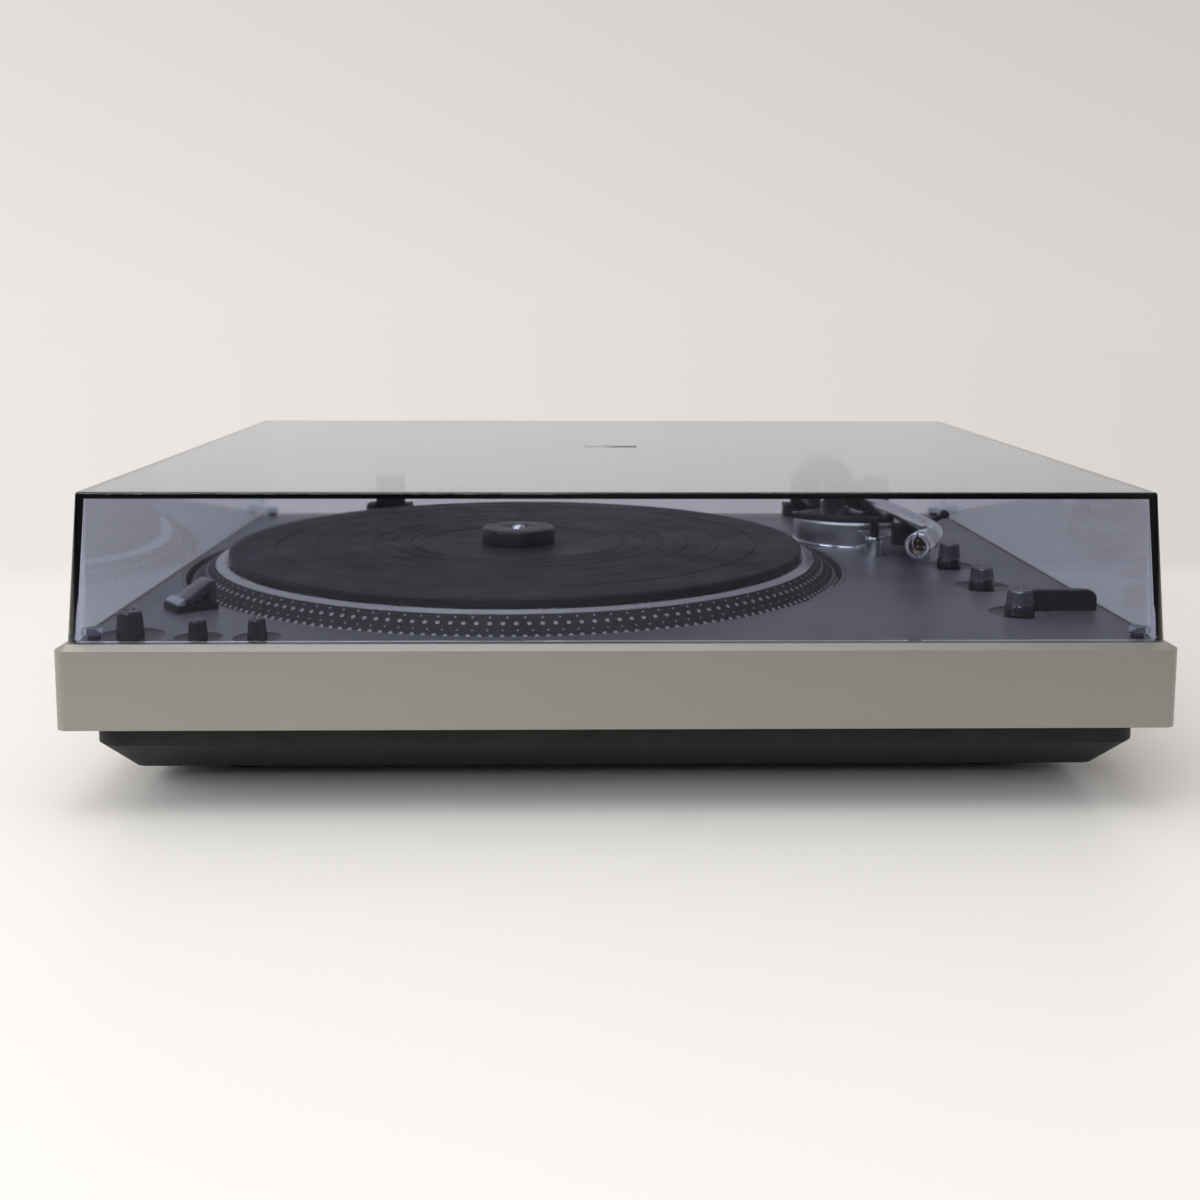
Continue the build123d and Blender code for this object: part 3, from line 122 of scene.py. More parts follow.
tree.links.new(place.outputs["Object"], cloud.inputs["Vector"])
tree.links.new(cloud.outputs["Fac"], gloss.inputs["Value"])
tree.links.new(gloss.outputs["Result"], shader.inputs["Roughness"])
tree.links.new(parts.outputs["Y"], reach.inputs[0])
tree.links.new(parts.outputs["X"], slant.inputs[0])
tree.links.new(reach.outputs["Value"], slant.inputs[1])
tree.links.new(slant.outputs["Value"], across.inputs["Value"])
tree.links.new(across.outputs["Result"], wash.inputs["Factor"])
tree.links.new(wash.outputs["Result"], wall_tone.inputs["B"])
tree.links.new(wall_tone.outputs["Result"], painted_wall_glow.inputs["Color"])
tree.links.new(far.outputs["Result"], blend.inputs["Fac"])
tree.links.new(shader.outputs["BSDF"], blend.inputs[1])
tree.links.new(painted_wall_glow.outputs["Emission"], blend.inputs[2])
tree.links.new(blend.outputs["Shader"], tree.nodes["Material Output"].inputs["Surface"])
shader.inputs["Specular IOR Level"].default_value = 0.3
floor.data.materials.append(floor_finish)

room = bpy.data.worlds.new("room")
bpy.context.scene.world = room
room.use_nodes = True
tree = room.node_tree
backdrop = tree.nodes["Background"]
place = tree.nodes.new("ShaderNodeTexCoord")
parts = tree.nodes.new("ShaderNodeSeparateXYZ")
climb = tree.nodes.new("ShaderNodeMapRange")
climb.inputs["From Min"].default_value = 0.0
climb.inputs["From Max"].default_value = 0.22
wall_rise = tree.nodes.new("ShaderNodeMix")
wall_rise.data_type = "RGBA"
wall_rise.inputs["A"].default_value = wall_low
wall_rise.inputs["B"].default_value = wall_high
across = tree.nodes.new("ShaderNodeMapRange")
across.inputs["From Min"].default_value = -0.5
across.inputs["From Max"].default_value = 0.5
wash = tree.nodes.new("ShaderNodeMix")
wash.data_type = "RGBA"
wash.inputs["A"].default_value = side_light
wash.inputs["B"].default_value = side_shade
wall_tone = tree.nodes.new("ShaderNodeMix")
wall_tone.data_type = "RGBA"
wall_tone.blend_type = "MULTIPLY"
wall_tone.inputs["Factor"].default_value = 1.0
room_rise = tree.nodes.new("ShaderNodeMix")
room_rise.data_type = "RGBA"
room_rise.inputs["A"].default_value = room_dark
room_rise.inputs["B"].default_value = room_light
turn = tree.nodes.new("ShaderNodeMapRange")
turn.interpolation_type = "SMOOTHSTEP"
turn.inputs["From Min"].default_value = -0.35
turn.inputs["From Max"].default_value = 0.25
shade = tree.nodes.new("ShaderNodeMix")
shade.data_type = "RGBA"
tree.links.new(place.outputs["Generated"], parts.inputs["Vector"])
tree.links.new(parts.outputs["Z"], climb.inputs["Value"])
tree.links.new(climb.outputs["Result"], wall_rise.inputs["Factor"])
tree.links.new(parts.outputs["X"], across.inputs["Value"])
tree.links.new(across.outputs["Result"], wash.inputs["Factor"])
tree.links.new(wall_rise.outputs["Result"], wall_tone.inputs["A"])
tree.links.new(wash.outputs["Result"], wall_tone.inputs["B"])
band_place = tree.nodes.new("ShaderNodeMapping")
band_place.inputs["Scale"].default_value = (7.0, 0.6, 0.3)
bands = tree.nodes.new("ShaderNodeTexNoise")
bands.inputs["Scale"].default_value = 1.0
bands.inputs["Detail"].default_value = 1.0
band_share = tree.nodes.new("ShaderNodeMapRange")
band_share.inputs["From Min"].default_value = 0.45
band_share.inputs["From Max"].default_value = 0.75
band_share.inputs["To Max"].default_value = 0.35
banded = tree.nodes.new("ShaderNodeMath")
banded.operation = "ADD"
banded.use_clamp = True
tree.links.new(place.outputs["Generated"], band_place.inputs["Vector"])
tree.links.new(band_place.outputs["Vector"], bands.inputs["Vector"])
tree.links.new(bands.outputs["Fac"], band_share.inputs["Value"])
tree.links.new(parts.outputs["Z"], banded.inputs[0])
tree.links.new(band_share.outputs["Result"], banded.inputs[1])
tree.links.new(banded.outputs["Value"], room_rise.inputs["Factor"])
tree.links.new(parts.outputs["Y"], turn.inputs["Value"])
tree.links.new(turn.outputs["Result"], shade.inputs["Factor"])
tree.links.new(room_rise.outputs["Result"], shade.inputs["A"])
tree.links.new(wall_tone.outputs["Result"], shade.inputs["B"])
tree.links.new(shade.outputs["Result"], backdrop.inputs["Color"])
backdrop.inputs["Strength"].default_value = 1.0

for lamp_name, lamp_place, lamp_size, lamp_power in (
    ("ceiling_lamp", (-0.3, -0.2, 1.9), 1.8, 19.0),
    ("window_lamp", (-1.7, -0.9, 1.1), 1.0, 14.0),
    ("front_lamp", (-0.5, -1.9, 1.25), 1.0, 12.0),
):
    bpy.ops.object.light_add(type="AREA", location=lamp_place)
    lamp = bpy.context.object
    lamp.name = lamp_name
    lamp.data.size = lamp_size
    lamp.data.energy = lamp_power
    lamp.rotation_euler = (-Vector(lamp_place)).to_track_quat("-Z", "Y").to_euler()

view_turn = 0.02276
view_dip = 0.12
view_roll = 0.00355
look = Vector((sin(view_turn) * cos(view_dip), cos(view_turn) * cos(view_dip), -sin(view_dip)))
side = Vector((cos(view_turn), -sin(view_turn), 0))
rise = side.cross(look)
level_side = cos(view_roll) * side + sin(view_roll) * rise
level_rise = cos(view_roll) * rise - sin(view_roll) * side
bpy.ops.object.camera_add(location=(-0.01742, -0.73842, 0.20593))
camera = bpy.context.object
camera.rotation_euler = Matrix((level_side, level_rise, -look)).transposed().to_euler()
camera.data.sensor_width = 36.0
camera.data.lens = 42.595
camera.data.shift_x = -0.0081
camera.data.shift_y = -0.105
bpy.context.scene.camera = camera


# Base: a black plastic tray moulded with sloping walls, on four rubber feet, each held by a screw.
# Six more plated screws go up through its flange into the cabinet.
def finish(
    name, colour, roughness,
    metallic=0.0, coat=0.0, grain=900.0, relief=0.05, mottle=0.06, spread=0.05, stretch=(1, 1, 1),
):
    """A finish whose shade, gloss and surface vary a little over the piece."""
    material = bpy.data.materials.new(name)
    material.use_nodes = True
    tree = material.node_tree
    shader = tree.nodes["Principled BSDF"]
    shader.inputs["Metallic"].default_value = metallic
    shader.inputs["Coat Weight"].default_value = coat
    shader.inputs["Coat Roughness"].default_value = 0.08
    place = tree.nodes.new("ShaderNodeTexCoord")
    scaled = tree.nodes.new("ShaderNodeMapping")
    scaled.inputs["Scale"].default_value = stretch
    broad = tree.nodes.new("ShaderNodeTexNoise")
    broad.inputs["Scale"].default_value = grain * 0.03
    broad.inputs["Detail"].default_value = 4.0
    fine = tree.nodes.new("ShaderNodeTexNoise")
    fine.inputs["Scale"].default_value = grain
    fine.inputs["Detail"].default_value = 3.0
    shade = tree.nodes.new("ShaderNodeMix")
    shade.data_type = "RGBA"
    shade.inputs["A"].default_value = (*[c * (1 - mottle) for c in colour], 1)
    shade.inputs["B"].default_value = (*[min(1.0, c * (1 + mottle)) for c in colour], 1)
    gloss = tree.nodes.new("ShaderNodeMapRange")
    gloss.inputs["From Min"].default_value = 0.3
    gloss.inputs["From Max"].default_value = 0.7
    gloss.inputs["To Min"].default_value = max(0.02, roughness - spread)
    gloss.inputs["To Max"].default_value = roughness + spread
    bump = tree.nodes.new("ShaderNodeBump")
    bump.inputs["Strength"].default_value = relief
    bump.inputs["Distance"].default_value = 0.2 * mm
    links = (
        (place.outputs["Object"], scaled.inputs["Vector"]),
        (scaled.outputs["Vector"], broad.inputs["Vector"]),
        (scaled.outputs["Vector"], fine.inputs["Vector"]),
        (broad.outputs["Fac"], shade.inputs["Factor"]),
        (shade.outputs["Result"], shader.inputs["Base Color"]),
        (broad.outputs["Fac"], gloss.inputs["Value"]),
        (gloss.outputs["Result"], shader.inputs["Roughness"]),
        (fine.outputs["Fac"], bump.inputs["Height"]),
        (bump.outputs["Normal"], shader.inputs["Normal"]),
    )
    for start, end in links:
        tree.links.new(start, end)
    return material


def dress(node, material):
    """Gives a CAD solid its finish."""
    mesh = frame["nodes"][node].data
    mesh.materials.clear()
    mesh.materials.append(material)


black_moulding = finish("black_moulding", (0.005, 0.005, 0.005), 0.65, grain=2600, relief=0.25, mottle=0.2)
foot_rubber = finish("foot_rubber", (0.02, 0.02, 0.021), 0.75, grain=1800, relief=0.2, mottle=0.25)
zinc_plate = finish("zinc_plate", (0.62, 0.61, 0.56), 0.32, metallic=1.0, grain=1500, mottle=0.1)
dress("base_tub", black_moulding)
dress("case_screws", zinc_plate)


def turned(rings, steps=96, hollow=False):
    """A turned shape about +Z, from (radius, height) rings in millimetres. A hollow one ends on its first ring."""
    radius, height = rings[0]
    bpy.ops.object.select_all(action="DESELECT")
    bpy.ops.mesh.primitive_circle_add(
        vertices=steps,
        radius=radius * mm,
        fill_type="NOTHING" if hollow else "NGON",
        location=(0, 0, height * mm),
    )
    bpy.ops.object.mode_set(mode="EDIT")
    bpy.ops.mesh.select_mode(type="VERT")
    bpy.ops.mesh.select_all(action="SELECT")
    for next_radius, next_height in rings[1:]:
        bpy.ops.mesh.extrude_region_move(TRANSFORM_OT_translate={"value": (0, 0, (next_height - height) * mm)})
        spread = next_radius / radius
        bpy.ops.transform.resize(value=(spread, spread, 1), center_override=(0, 0, next_height * mm))
        radius, height = next_radius, next_height
    bpy.ops.mesh.select_all(action="SELECT")
    bpy.ops.mesh.remove_doubles(threshold=0.002 * mm)
    bpy.ops.mesh.normals_make_consistent(inside=False)
    bpy.ops.object.mode_set(mode="OBJECT")
    bpy.ops.object.transform_apply(location=True, rotation=True, scale=True)
    return bpy.context.object


def stand(piece, centre, direction=(0, 0, 1)):
    """Moves a piece made about +Z to its place, along its own axis."""
    turn = Vector(direction).to_track_quat("Z", "Y").to_matrix().to_4x4()
    piece.matrix_world = Matrix.Translation(centre) @ turn
    bpy.ops.object.select_all(action="DESELECT")
    piece.select_set(True)
    bpy.context.view_layer.objects.active = piece
    bpy.ops.object.transform_apply(location=True, rotation=True, scale=True)
    return piece


def seat(piece, name, body, material, smooth=35):
    """Names a finished piece, gives it its finish, smooths its shallow edges and lets it ride."""
    bpy.ops.object.select_all(action="DESELECT")
    piece.select_set(True)
    bpy.context.view_layer.objects.active = piece
    bpy.ops.object.shade_smooth_by_angle(angle=radians(smooth))
    piece.name = name
    piece.data.name = name
    piece.data.materials.clear()
    piece.data.materials.append(material)
    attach(piece, body)
    return piece


def joined(pieces):
    """One piece made of several."""
    bpy.ops.object.select_all(action="DESELECT")
    for piece in pieces:
        piece.select_set(True)
    bpy.context.view_layer.objects.active = pieces[0]
    bpy.ops.object.join()
    return pieces[0]


def copied(piece, shift):
    """A copy of a piece with its own mesh, moved along."""
    twin = piece.copy()
    twin.data = piece.data.copy()
    bpy.context.collection.objects.link(twin)
    twin.data.transform(Matrix.Translation(shift))
    return twin


feet_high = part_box("feet")[1]
foot_radius = 22.0
foot_x = feet_high.x - foot_radius * mm
foot_y = feet_high.y - foot_radius * mm
first_foot = turned(
    [(3.4, 3.0), (3.4, 0.6), (9.0, 0.4), (9.6, 0.0), (12.4, 0.0), (13.0, 0.7), (14.6, 0.7), (15.2, 0.0),
     (20.4, 0.0), (21.3, 0.5), (foot_radius, 1.6), (foot_radius, 3.0), (21.4, 3.4), (21.4, 4.0), (foot_radius, 4.4),
     (foot_radius, 8.0), (1.8, 8.0), (1.8, 3.0), (3.4, 3.0)],
    steps=64,
    hollow=True,
)
first_foot.data.transform(Matrix.Translation((-foot_x, -foot_y, 0)))
foot_shifts = ((2 * foot_x, 0), (0, 2 * foot_y), (2 * foot_x, 2 * foot_y))
feet = joined([first_foot, *(copied(first_foot, (x, y, 0)) for x, y in foot_shifts)])
seat(feet, "rubber_feet", "plinth", foot_rubber)
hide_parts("feet")


# Cabinet: a die-cast frame with a bevelled rim, sprayed in a warm satin silver.
# On the real cabinet the inside is only sprayed where it shows round the deck and at the socket openings; here the
# whole casting gets the one finish.
champagne_paint = finish(
    "champagne_paint", (0.33, 0.317, 0.285), 0.36, metallic=0.7, coat=0.1, grain=3000, relief=0.06, mottle=0.035
)
dress("cabinet", champagne_paint)


# Deck: a dark silver sheet with a fine straight grain, pressed into a shallow dish at each control.
# The dishes are lined with thin near-black bowls that the knobs stand in: their dark is partly the dishes' own
# finish, partly painted shade in the recesses.
deck_paint = finish(
    "deck_paint", (0.24, 0.24, 0.255), 0.38, metallic=0.5, grain=1400, relief=0.08, mottle=0.08, stretch=(0.05, 1, 1)
)
chassis_zinc = finish("chassis_zinc", (0.30, 0.30, 0.29), 0.45, metallic=0.8, grain=700, mottle=0.12)
dish_black_and_shade = finish("dish_black_and_shade", (0.014, 0.014, 0.016), 0.3, grain=1500, relief=0.05)
dress("deck_panel", deck_paint)
dress("motor_chassis", chassis_zinc)
dress("control_pots", chassis_zinc)

deck_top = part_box("deck_panel")[1].z
knob_body = {
    "power_knob": "power_switch",
    "pitch_knob_33": "pitch_33",
    "pitch_knob_45": "pitch_45",
    "size_knob": "size_selector",
    "speed_knob": "speed_selector",
    "cue_lever": "cue",
}
dish_radii = {
    "power_knob": 14.0,
    "pitch_knob_33": 9.9,
    "pitch_knob_45": 9.9,
    "size_knob": 13.6,
    "speed_knob": 13.8,
    "cue_lever": 13.9,
}
body_turn = {joint["child"]: joint for joint in frame["joints"]}
knob_places = {knob: Vector(body_turn[body]["pos_m"]) for knob, body in knob_body.items()}
dish_hole = 3.3
dishes = []
# Near-black bowls in the dishes: partly their own dark finish, partly painted shade in the recesses.
for knob, dish in dish_radii.items():
    bowl = turned(
        [(dish_hole, -1.2), (dish_hole, -1.05), (dish * 0.5, -1.02), (dish * 0.75, -0.8), (dish * 0.92, -0.35),
         (dish - 0.15, 0.02), (dish - 0.02, -0.05), (dish - 0.02, -1.2), (dish_hole, -1.2)],
        steps=96,
        hollow=True,
    )
    dishes.append(stand(bowl, (knob_places[knob].x, knob_places[knob].y, deck_top)))
seat(joined(dishes), "knob_dishes", "plinth", dish_black_and_shade, smooth=50)


# Platter: cast aluminium, machined bright, with a black sloping band that carries four rows of bright
# dots for the strobe lamp. A ring magnet is bonded under it.
platter_alloy = finish("platter_alloy", (0.62, 0.62, 0.64), 0.26, metallic=1.0, grain=1200, relief=0.03, mottle=0.05)
band_black = finish("band_black", (0.004, 0.004, 0.005), 0.6, grain=2500, relief=0.1, mottle=0.2)
dot_silver = finish("dot_silver", (0.42, 0.42, 0.43), 0.42, metallic=0.4, grain=3000, mottle=0.05)
magnet_ferrite = finish("magnet_ferrite", (0.05, 0.05, 0.052), 0.6, grain=1500, relief=0.2)
steel = finish("polished_steel", (0.75, 0.75, 0.76), 0.14, metallic=1.0, grain=1800, mottle=0.04)
dress("rotor_magnet", magnet_ferrite)

spindle_low, spindle_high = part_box("spindle")
spindle_place = Vector(((spindle_low.x + spindle_high.x) / 2, (spindle_low.y + spindle_high.y) / 2, 0))
platter_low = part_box("platter")[0].z / mm
web_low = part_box("rotor_magnet")[1].z / mm
mat_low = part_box("platter_mat")[0].z / mm
platter_radius = 166.0
bore = 3.62
band_foot = (165.3, platter_low + 1.6)
band_head = (154.0, mat_low - 1.1)
casting = turned(
    [(bore, platter_low), (14.0, platter_low), (14.0, web_low), (146.0, web_low), (151.6, platter_low + 0.6),
     (152.4, platter_low), (165.6, platter_low), (platter_radius, platter_low + 0.35),
     (platter_radius, platter_low + 0.9), (165.75, platter_low + 1.25), (165.2, platter_low + 1.6),
     (153.95, band_head[1] - 0.05), (153.2, band_head[1]),
     (152.6, band_head[1] + 0.15), (150.4, mat_low + 0.2), (149.9, mat_low + 0.3), (148.6, mat_low + 0.3),
     (148.3, mat_low + 0.1), (148.3, mat_low), (bore, mat_low), (bore, platter_low)],
    steps=256,
    hollow=True,
)
seat(stand(casting, spindle_place), "platter_casting", "turntable", platter_alloy)
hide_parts("platter")

slope = Vector((band_foot[0] - band_head[0], 0, band_foot[1] - band_head[1]))
outward = Vector((-slope.z, 0, slope.x)).normalized()
band_proud = 0.06
band = turned(
    [(band_foot[0] - 0.5, band_foot[1] - 0.1),
     (band_foot[0] - 0.15 + outward.x * band_proud, band_foot[1] + 0.1 + outward.z * band_proud),
     (band_head[0] + 0.1 + outward.x * band_proud, band_head[1] - 0.07 + outward.z * band_proud),
     (band_head[0] - 0.3, band_head[1] - 0.3),
     (band_foot[0] - 0.5, band_foot[1] - 0.1)],
    steps=256,
    hollow=True,
)
seat(stand(band, spindle_place), "strobe_band", "turntable", band_black)


def around(piece, count, centre, axis=(0, 0, 1)):
    """Repeats a piece evenly about an axis."""
    turner = bpy.data.objects.new("turner", None)
    bpy.context.collection.objects.link(turner)
    step = Matrix.Rotation(2 * pi / count, 4, Vector(axis))
    turner.matrix_world = Matrix.Translation(centre) @ step @ Matrix.Translation(-Vector(centre))
    bpy.ops.object.select_all(action="DESELECT")
    piece.select_set(True)
    bpy.context.view_layer.objects.active = piece
    bpy.context.view_layer.update()
    ring = piece.modifiers.new("ring", "ARRAY")
    ring.count = count
    ring.use_relative_offset = False
    ring.use_object_offset = True
    ring.offset_object = turner
    bpy.ops.object.modifier_apply(modifier=ring.name)
    bpy.data.objects.remove(turner)
    return piece


dot_height = 0.22
rows = []
for share, count, radius in ((0.13, 133, 0.48), (0.38, 180, 0.98), (0.66, 160, 0.40), (0.90, 216, 0.98)):
    middle = Vector((band_head[0], 0, band_head[1])) + slope * share
    dot = turned([(radius, -0.15), (radius, dot_height * 0.6), (radius * 0.7, dot_height)], steps=12)
    stand(dot, spindle_place + middle * mm, outward)
    around(dot, count, spindle_place)
    rows.append(dot)
seat(joined(rows), "strobe_dots", "turntable", dot_silver)

bottom, top = spindle_low.z / mm, spindle_high.z / mm
spindle = turned(
    [(3.55, bottom), (3.6, bottom + 0.3), (3.6, top - 2.6), (3.4, top - 1.3), (2.7, top - 0.45), (1.6, top - 0.1),
     (0.5, top)],
    steps=48,
)
seat(stand(spindle, spindle_place), "centre_spindle", "turntable", steel, smooth=60)
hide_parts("spindle")


# Mat: soft black rubber, moulded with six wide rings, many fine grooves between them and a sunk
# middle that clears a record's label. It lies loose on the platter and turns with it.
mat_rubber = finish("mat_rubber", (0.011, 0.011, 0.012), 0.55, grain=1800, relief=0.15, mottle=0.18, spread=0.08)
mat_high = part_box("platter_mat")[1].z / mm
label_high = mat_high - 0.8
mat_hole = 3.9
mat_rings = [(mat_hole, label_high), (48.6, label_high), (49.6, mat_high - 0.6), (50.2, mat_high - 0.1)]
wide_rings = (56.0, 66.0, 76.0, 89.0, 105.0, 124.5)
groove = 52.4
last_groove = 144.5
groove_pitch = 2.6
while groove < last_groove:
    beside = min(wide_rings, key=lambda ring: abs(ring - groove))
    wide = abs(beside - groove) < 1.3
    if wide:
        groove = beside
    half = 0.7 if wide else 0.35
    drop = 0.7 if wide else 0.25
    mat_rings += [
        (groove - half, mat_high),
        (groove - half * 0.5, mat_high - drop),
        (groove + half * 0.5, mat_high - drop),
        (groove + half, mat_high),
    ]
    groove = groove + groove_pitch
mat_rings += [
    (146.2, mat_high), (147.1, mat_high - 0.35), (147.5, mat_high - 1.0), (147.5, mat_low + 0.3), (147.2, mat_low),
    (mat_hole, mat_low), (mat_hole, label_high),
]
mat = turned(mat_rings, steps=200, hollow=True)
seat(stand(mat, spindle_place), "ribbed_mat", "turntable", mat_rubber, smooth=50)
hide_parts("platter_mat")


# Adaptor: a turned puck with a black satin finish, for records with a large centre hole.
# It stands on the mat's middle and slips over the spindle.
puck_black = finish("puck_black", (0.014, 0.014, 0.016), 0.34, coat=0.1, grain=1500, relief=0.05, mottle=0.15)
puck_low, puck_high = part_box("record_adaptor")
bottom, top = puck_low.z / mm, puck_high.z / mm
puck = turned(
    [(3.7, bottom), (18.5, bottom), (19.0, bottom + 0.5), (19.0, top - 1.2), (18.7, top - 0.5), (18.1, top - 0.1),
     (17.4, top), (15.2, top), (15.0, top - 0.25), (14.4, top - 0.25), (14.2, top), (9.2, top), (9.0, top - 0.3),
     (8.0, top - 0.45), (5.2, top - 0.6), (3.7, top - 1.1), (3.7, bottom)],
    steps=128,
    hollow=True,
)
seat(stand(puck, spindle_place), "adaptor_puck", "adaptor", puck_black)
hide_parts("record_adaptor")


# Knobs: the left three are glossy black; the right three have a satin metal cap on a black skirt.
# Each is moulded with fine flutes and a pale pointer line, and the cue knob carries a flat lever.
gloss_black = finish("gloss_black", (0.03, 0.03, 0.034), 0.2, coat=0.4, grain=1500, relief=0.02, mottle=0.12)
cap_silver = finish("cap_silver", (0.22, 0.22, 0.24), 0.34, metallic=0.85, grain=1800, relief=0.05)
pointer_white = finish("pointer_white", (0.7, 0.7, 0.7), 0.5, grain=1500)


def fluted(piece, low, high, width, depth):
    """Presses a narrow flute into each side face between two heights, in millimetres."""
    bpy.ops.object.select_all(action="DESELECT")
    piece.select_set(True)
    bpy.context.view_layer.objects.active = piece
    bpy.ops.object.mode_set(mode="EDIT")
    bpy.ops.mesh.select_all(action="DESELECT")
    bpy.ops.mesh.select_mode(type="FACE")
    shape = bmesh.from_edit_mesh(piece.data)
    for face in shape.faces:
        centre = face.calc_center_median()
        face.select = low * mm < centre.z < high * mm and abs(face.normal.z) < 0.3
    bmesh.update_edit_mesh(piece.data)
    bpy.ops.mesh.inset(thickness=width * mm, depth=-depth * mm, use_individual=True)
    bpy.ops.object.mode_set(mode="OBJECT")
    return piece


def pointed(x, y, top, reach, turn, name, body):
    """A pale pointer line let into the top of a knob, in millimetres from its centre."""
    bpy.ops.object.select_all(action="DESELECT")
    bpy.ops.mesh.primitive_cube_add(size=1, location=(0, reach * 0.62 * mm, 0))
    pointer = bpy.context.object
    pointer.scale = (0.5 * mm, reach * 0.55 * mm, 0.3 * mm)
    bpy.ops.object.transform_apply(location=True, rotation=True, scale=True)
    soft = pointer.modifiers.new("soft", "BEVEL")
    soft.width = 0.08 * mm
    soft.segments = 2
    bpy.ops.object.modifier_apply(modifier=soft.name)
    pointer.data.transform(Matrix.Translation((x, y, top)) @ Matrix.Rotation(radians(turn), 4, "Z"))
    return seat(pointer, name, body, pointer_white)


for knob, body in knob_body.items():
    low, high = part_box(knob)
    x, y = knob_places[knob].x, knob_places[knob].y
    radius = abs(x - low.x) / mm
    height = (high.z - deck_top) / mm
    right = knob in ("size_knob", "speed_knob", "cue_lever")
    crown = radius - 0.8 - 0.03 * height if right else radius - 0.45 - 0.04 * height
    waist = radius - 0.5 if right else radius - 0.05
    foot = -0.9
    start = 4.0 if right else foot
    cap = turned(
        [(waist, start), (waist, start + 0.5), (crown + 0.1, height - 1.1), (crown, height - 0.7),
         (crown - 0.25, height - 0.2), (crown - 0.8, height), (crown - 1.3, height), (crown - 1.6, height - 0.25),
         (1.0, height - 0.25)],
        steps=40,
    )
    fluted(cap, start + 0.5, height - 1.1, 0.14, 0.16)
    stand(cap, (x, y, deck_top))
    material = cap_silver if right else gloss_black
    slot = "knob_silver" if right else "black_gloss"
    seat(cap, knob + "_cap", body, material, smooth=40)
    if right:
        skirt = turned(
            [(3.0, foot), (radius - 0.3, foot), (radius, foot + 0.3), (radius - 0.15, 3.4), (radius - 0.5, 4.0),
             (1.0, 4.0)],
            steps=64,
        )
        stand(skirt, (x, y, deck_top))
        seat(skirt, knob + "_skirt", body, gloss_black, smooth=40)
    stem = turned([(3.0, -18.5), (3.0, foot + 0.02)], steps=32)
    stand(stem, (x, y, deck_top))
    seat(stem, knob + "_shaft", body, steel)
    pointed(x, y, deck_top + (height - 0.2) * mm, crown, -20 if right else 10, knob + "_pointer", body)
    if knob != "cue_lever":
        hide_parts(knob)


def softened(node, width, segments=2, angle=30):
    """A copy of a CAD solid with its edges rounded off, in millimetres."""
    source = frame["nodes"][node]
    piece = bpy.data.objects.new(node + "_softened", source.data.copy())
    bpy.context.collection.objects.link(piece)
    bpy.ops.object.select_all(action="DESELECT")
    piece.select_set(True)
    bpy.context.view_layer.objects.active = piece
    bpy.ops.mesh.customdata_custom_splitnormals_clear()
    bpy.ops.object.mode_set(mode="EDIT")
    bpy.ops.mesh.select_all(action="SELECT")
    bpy.ops.mesh.remove_doubles(threshold=0.002 * mm)
    bpy.ops.mesh.dissolve_limited(angle_limit=radians(0.5))
    bpy.ops.mesh.normals_make_consistent(inside=False)
    bpy.ops.object.mode_set(mode="OBJECT")
    edge = piece.modifiers.new("edge", "BEVEL")
    edge.width = width * mm
    edge.segments = segments
    edge.limit_method = "ANGLE"
    edge.angle_limit = radians(angle)
    bpy.ops.object.modifier_apply(modifier=edge.name)
    return piece


lever_x = knob_places["cue_lever"].x
lever_y = knob_places["cue_lever"].y
lever_low, lever_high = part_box("cue_lever")
lever_end = (lever_high.x - lever_x) / mm
lever_top = (lever_high.z - deck_top) / mm - 0.2
bpy.ops.object.select_all(action="DESELECT")
lever_start, lever_foot, lever_width = 4.6, 0.9, 5.2
bpy.ops.mesh.primitive_plane_add(size=1, location=(0, 0, 0))
lever = bpy.context.object
bpy.ops.object.mode_set(mode="EDIT")
bpy.ops.transform.resize(value=((lever_end - lever_start) * mm, (lever_top - lever_foot) * mm, 1))
bpy.ops.transform.translate(
    value=((lever_end + lever_start) / 2 * mm, (lever_top + lever_foot) / 2 * mm, -lever_width / 2 * mm)
)
bpy.ops.mesh.extrude_region_move(TRANSFORM_OT_translate={"value": (0, 0, lever_width * mm)})
bpy.ops.mesh.select_all(action="DESELECT")
bpy.ops.mesh.select_mode(type="EDGE")
shape = bmesh.from_edit_mesh(lever.data)
for edge in shape.edges:
    a, b = (vertex.co for vertex in edge.verts)
    at_tip = min(a.x, b.x) > (lever_end - 1) * mm and min(a.y, b.y) > (lever_top - 1) * mm
    edge.select = abs(a.z - b.z) > 1 * mm and at_tip
bmesh.update_edit_mesh(lever.data)
bpy.ops.mesh.bevel(offset=4.0 * mm, segments=8, affect="EDGES")
bpy.ops.mesh.select_all(action="SELECT")
bpy.ops.mesh.normals_make_consistent(inside=False)
bpy.ops.object.mode_set(mode="OBJECT")
soft = lever.modifiers.new("soft", "BEVEL")
soft.width = 0.45 * mm
soft.segments = 3
bpy.ops.object.modifier_apply(modifier=soft.name)
lever.data.transform(Matrix.Translation((lever_x, lever_y, deck_top)) @ Matrix.Rotation(radians(90), 4, "X"))
seat(lever, "cue_lever_blade", "cue", puck_black)
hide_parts("cue_lever")


# Strobe unit: a lamp on a low black plinth, under a slanted smoke prism with a clear facet in front.
# The plinth is moulded plastic that stands on the deck, and the prism is bonded on top of it.
smoke_prism = finish("smoke_prism", (0.10, 0.10, 0.11), 0.16, coat=0.5, grain=800, relief=0.03, mottle=0.25)
clear_facet = finish("clear_facet", (0.45, 0.46, 0.48), 0.1, coat=0.6, grain=700, relief=0.02, mottle=0.15)
lamp_glass = finish("lamp_glass", (0.75, 0.35, 0.2), 0.12, coat=0.5, grain=900, mottle=0.1)
for node, width, material, slot in (
    ("strobe_plinth", 0.4, black_moulding, "black_plastic"),
    ("strobe_hood", 0.5, smoke_prism, "smoke_plastic"),
    ("strobe_lens", 0.3, clear_facet, "clear_plastic"),
):
    piece = softened(node, width)
    seat(piece, node + "_shell", "plinth", material)
    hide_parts(node)
dress("strobe_lamp", lamp_glass)


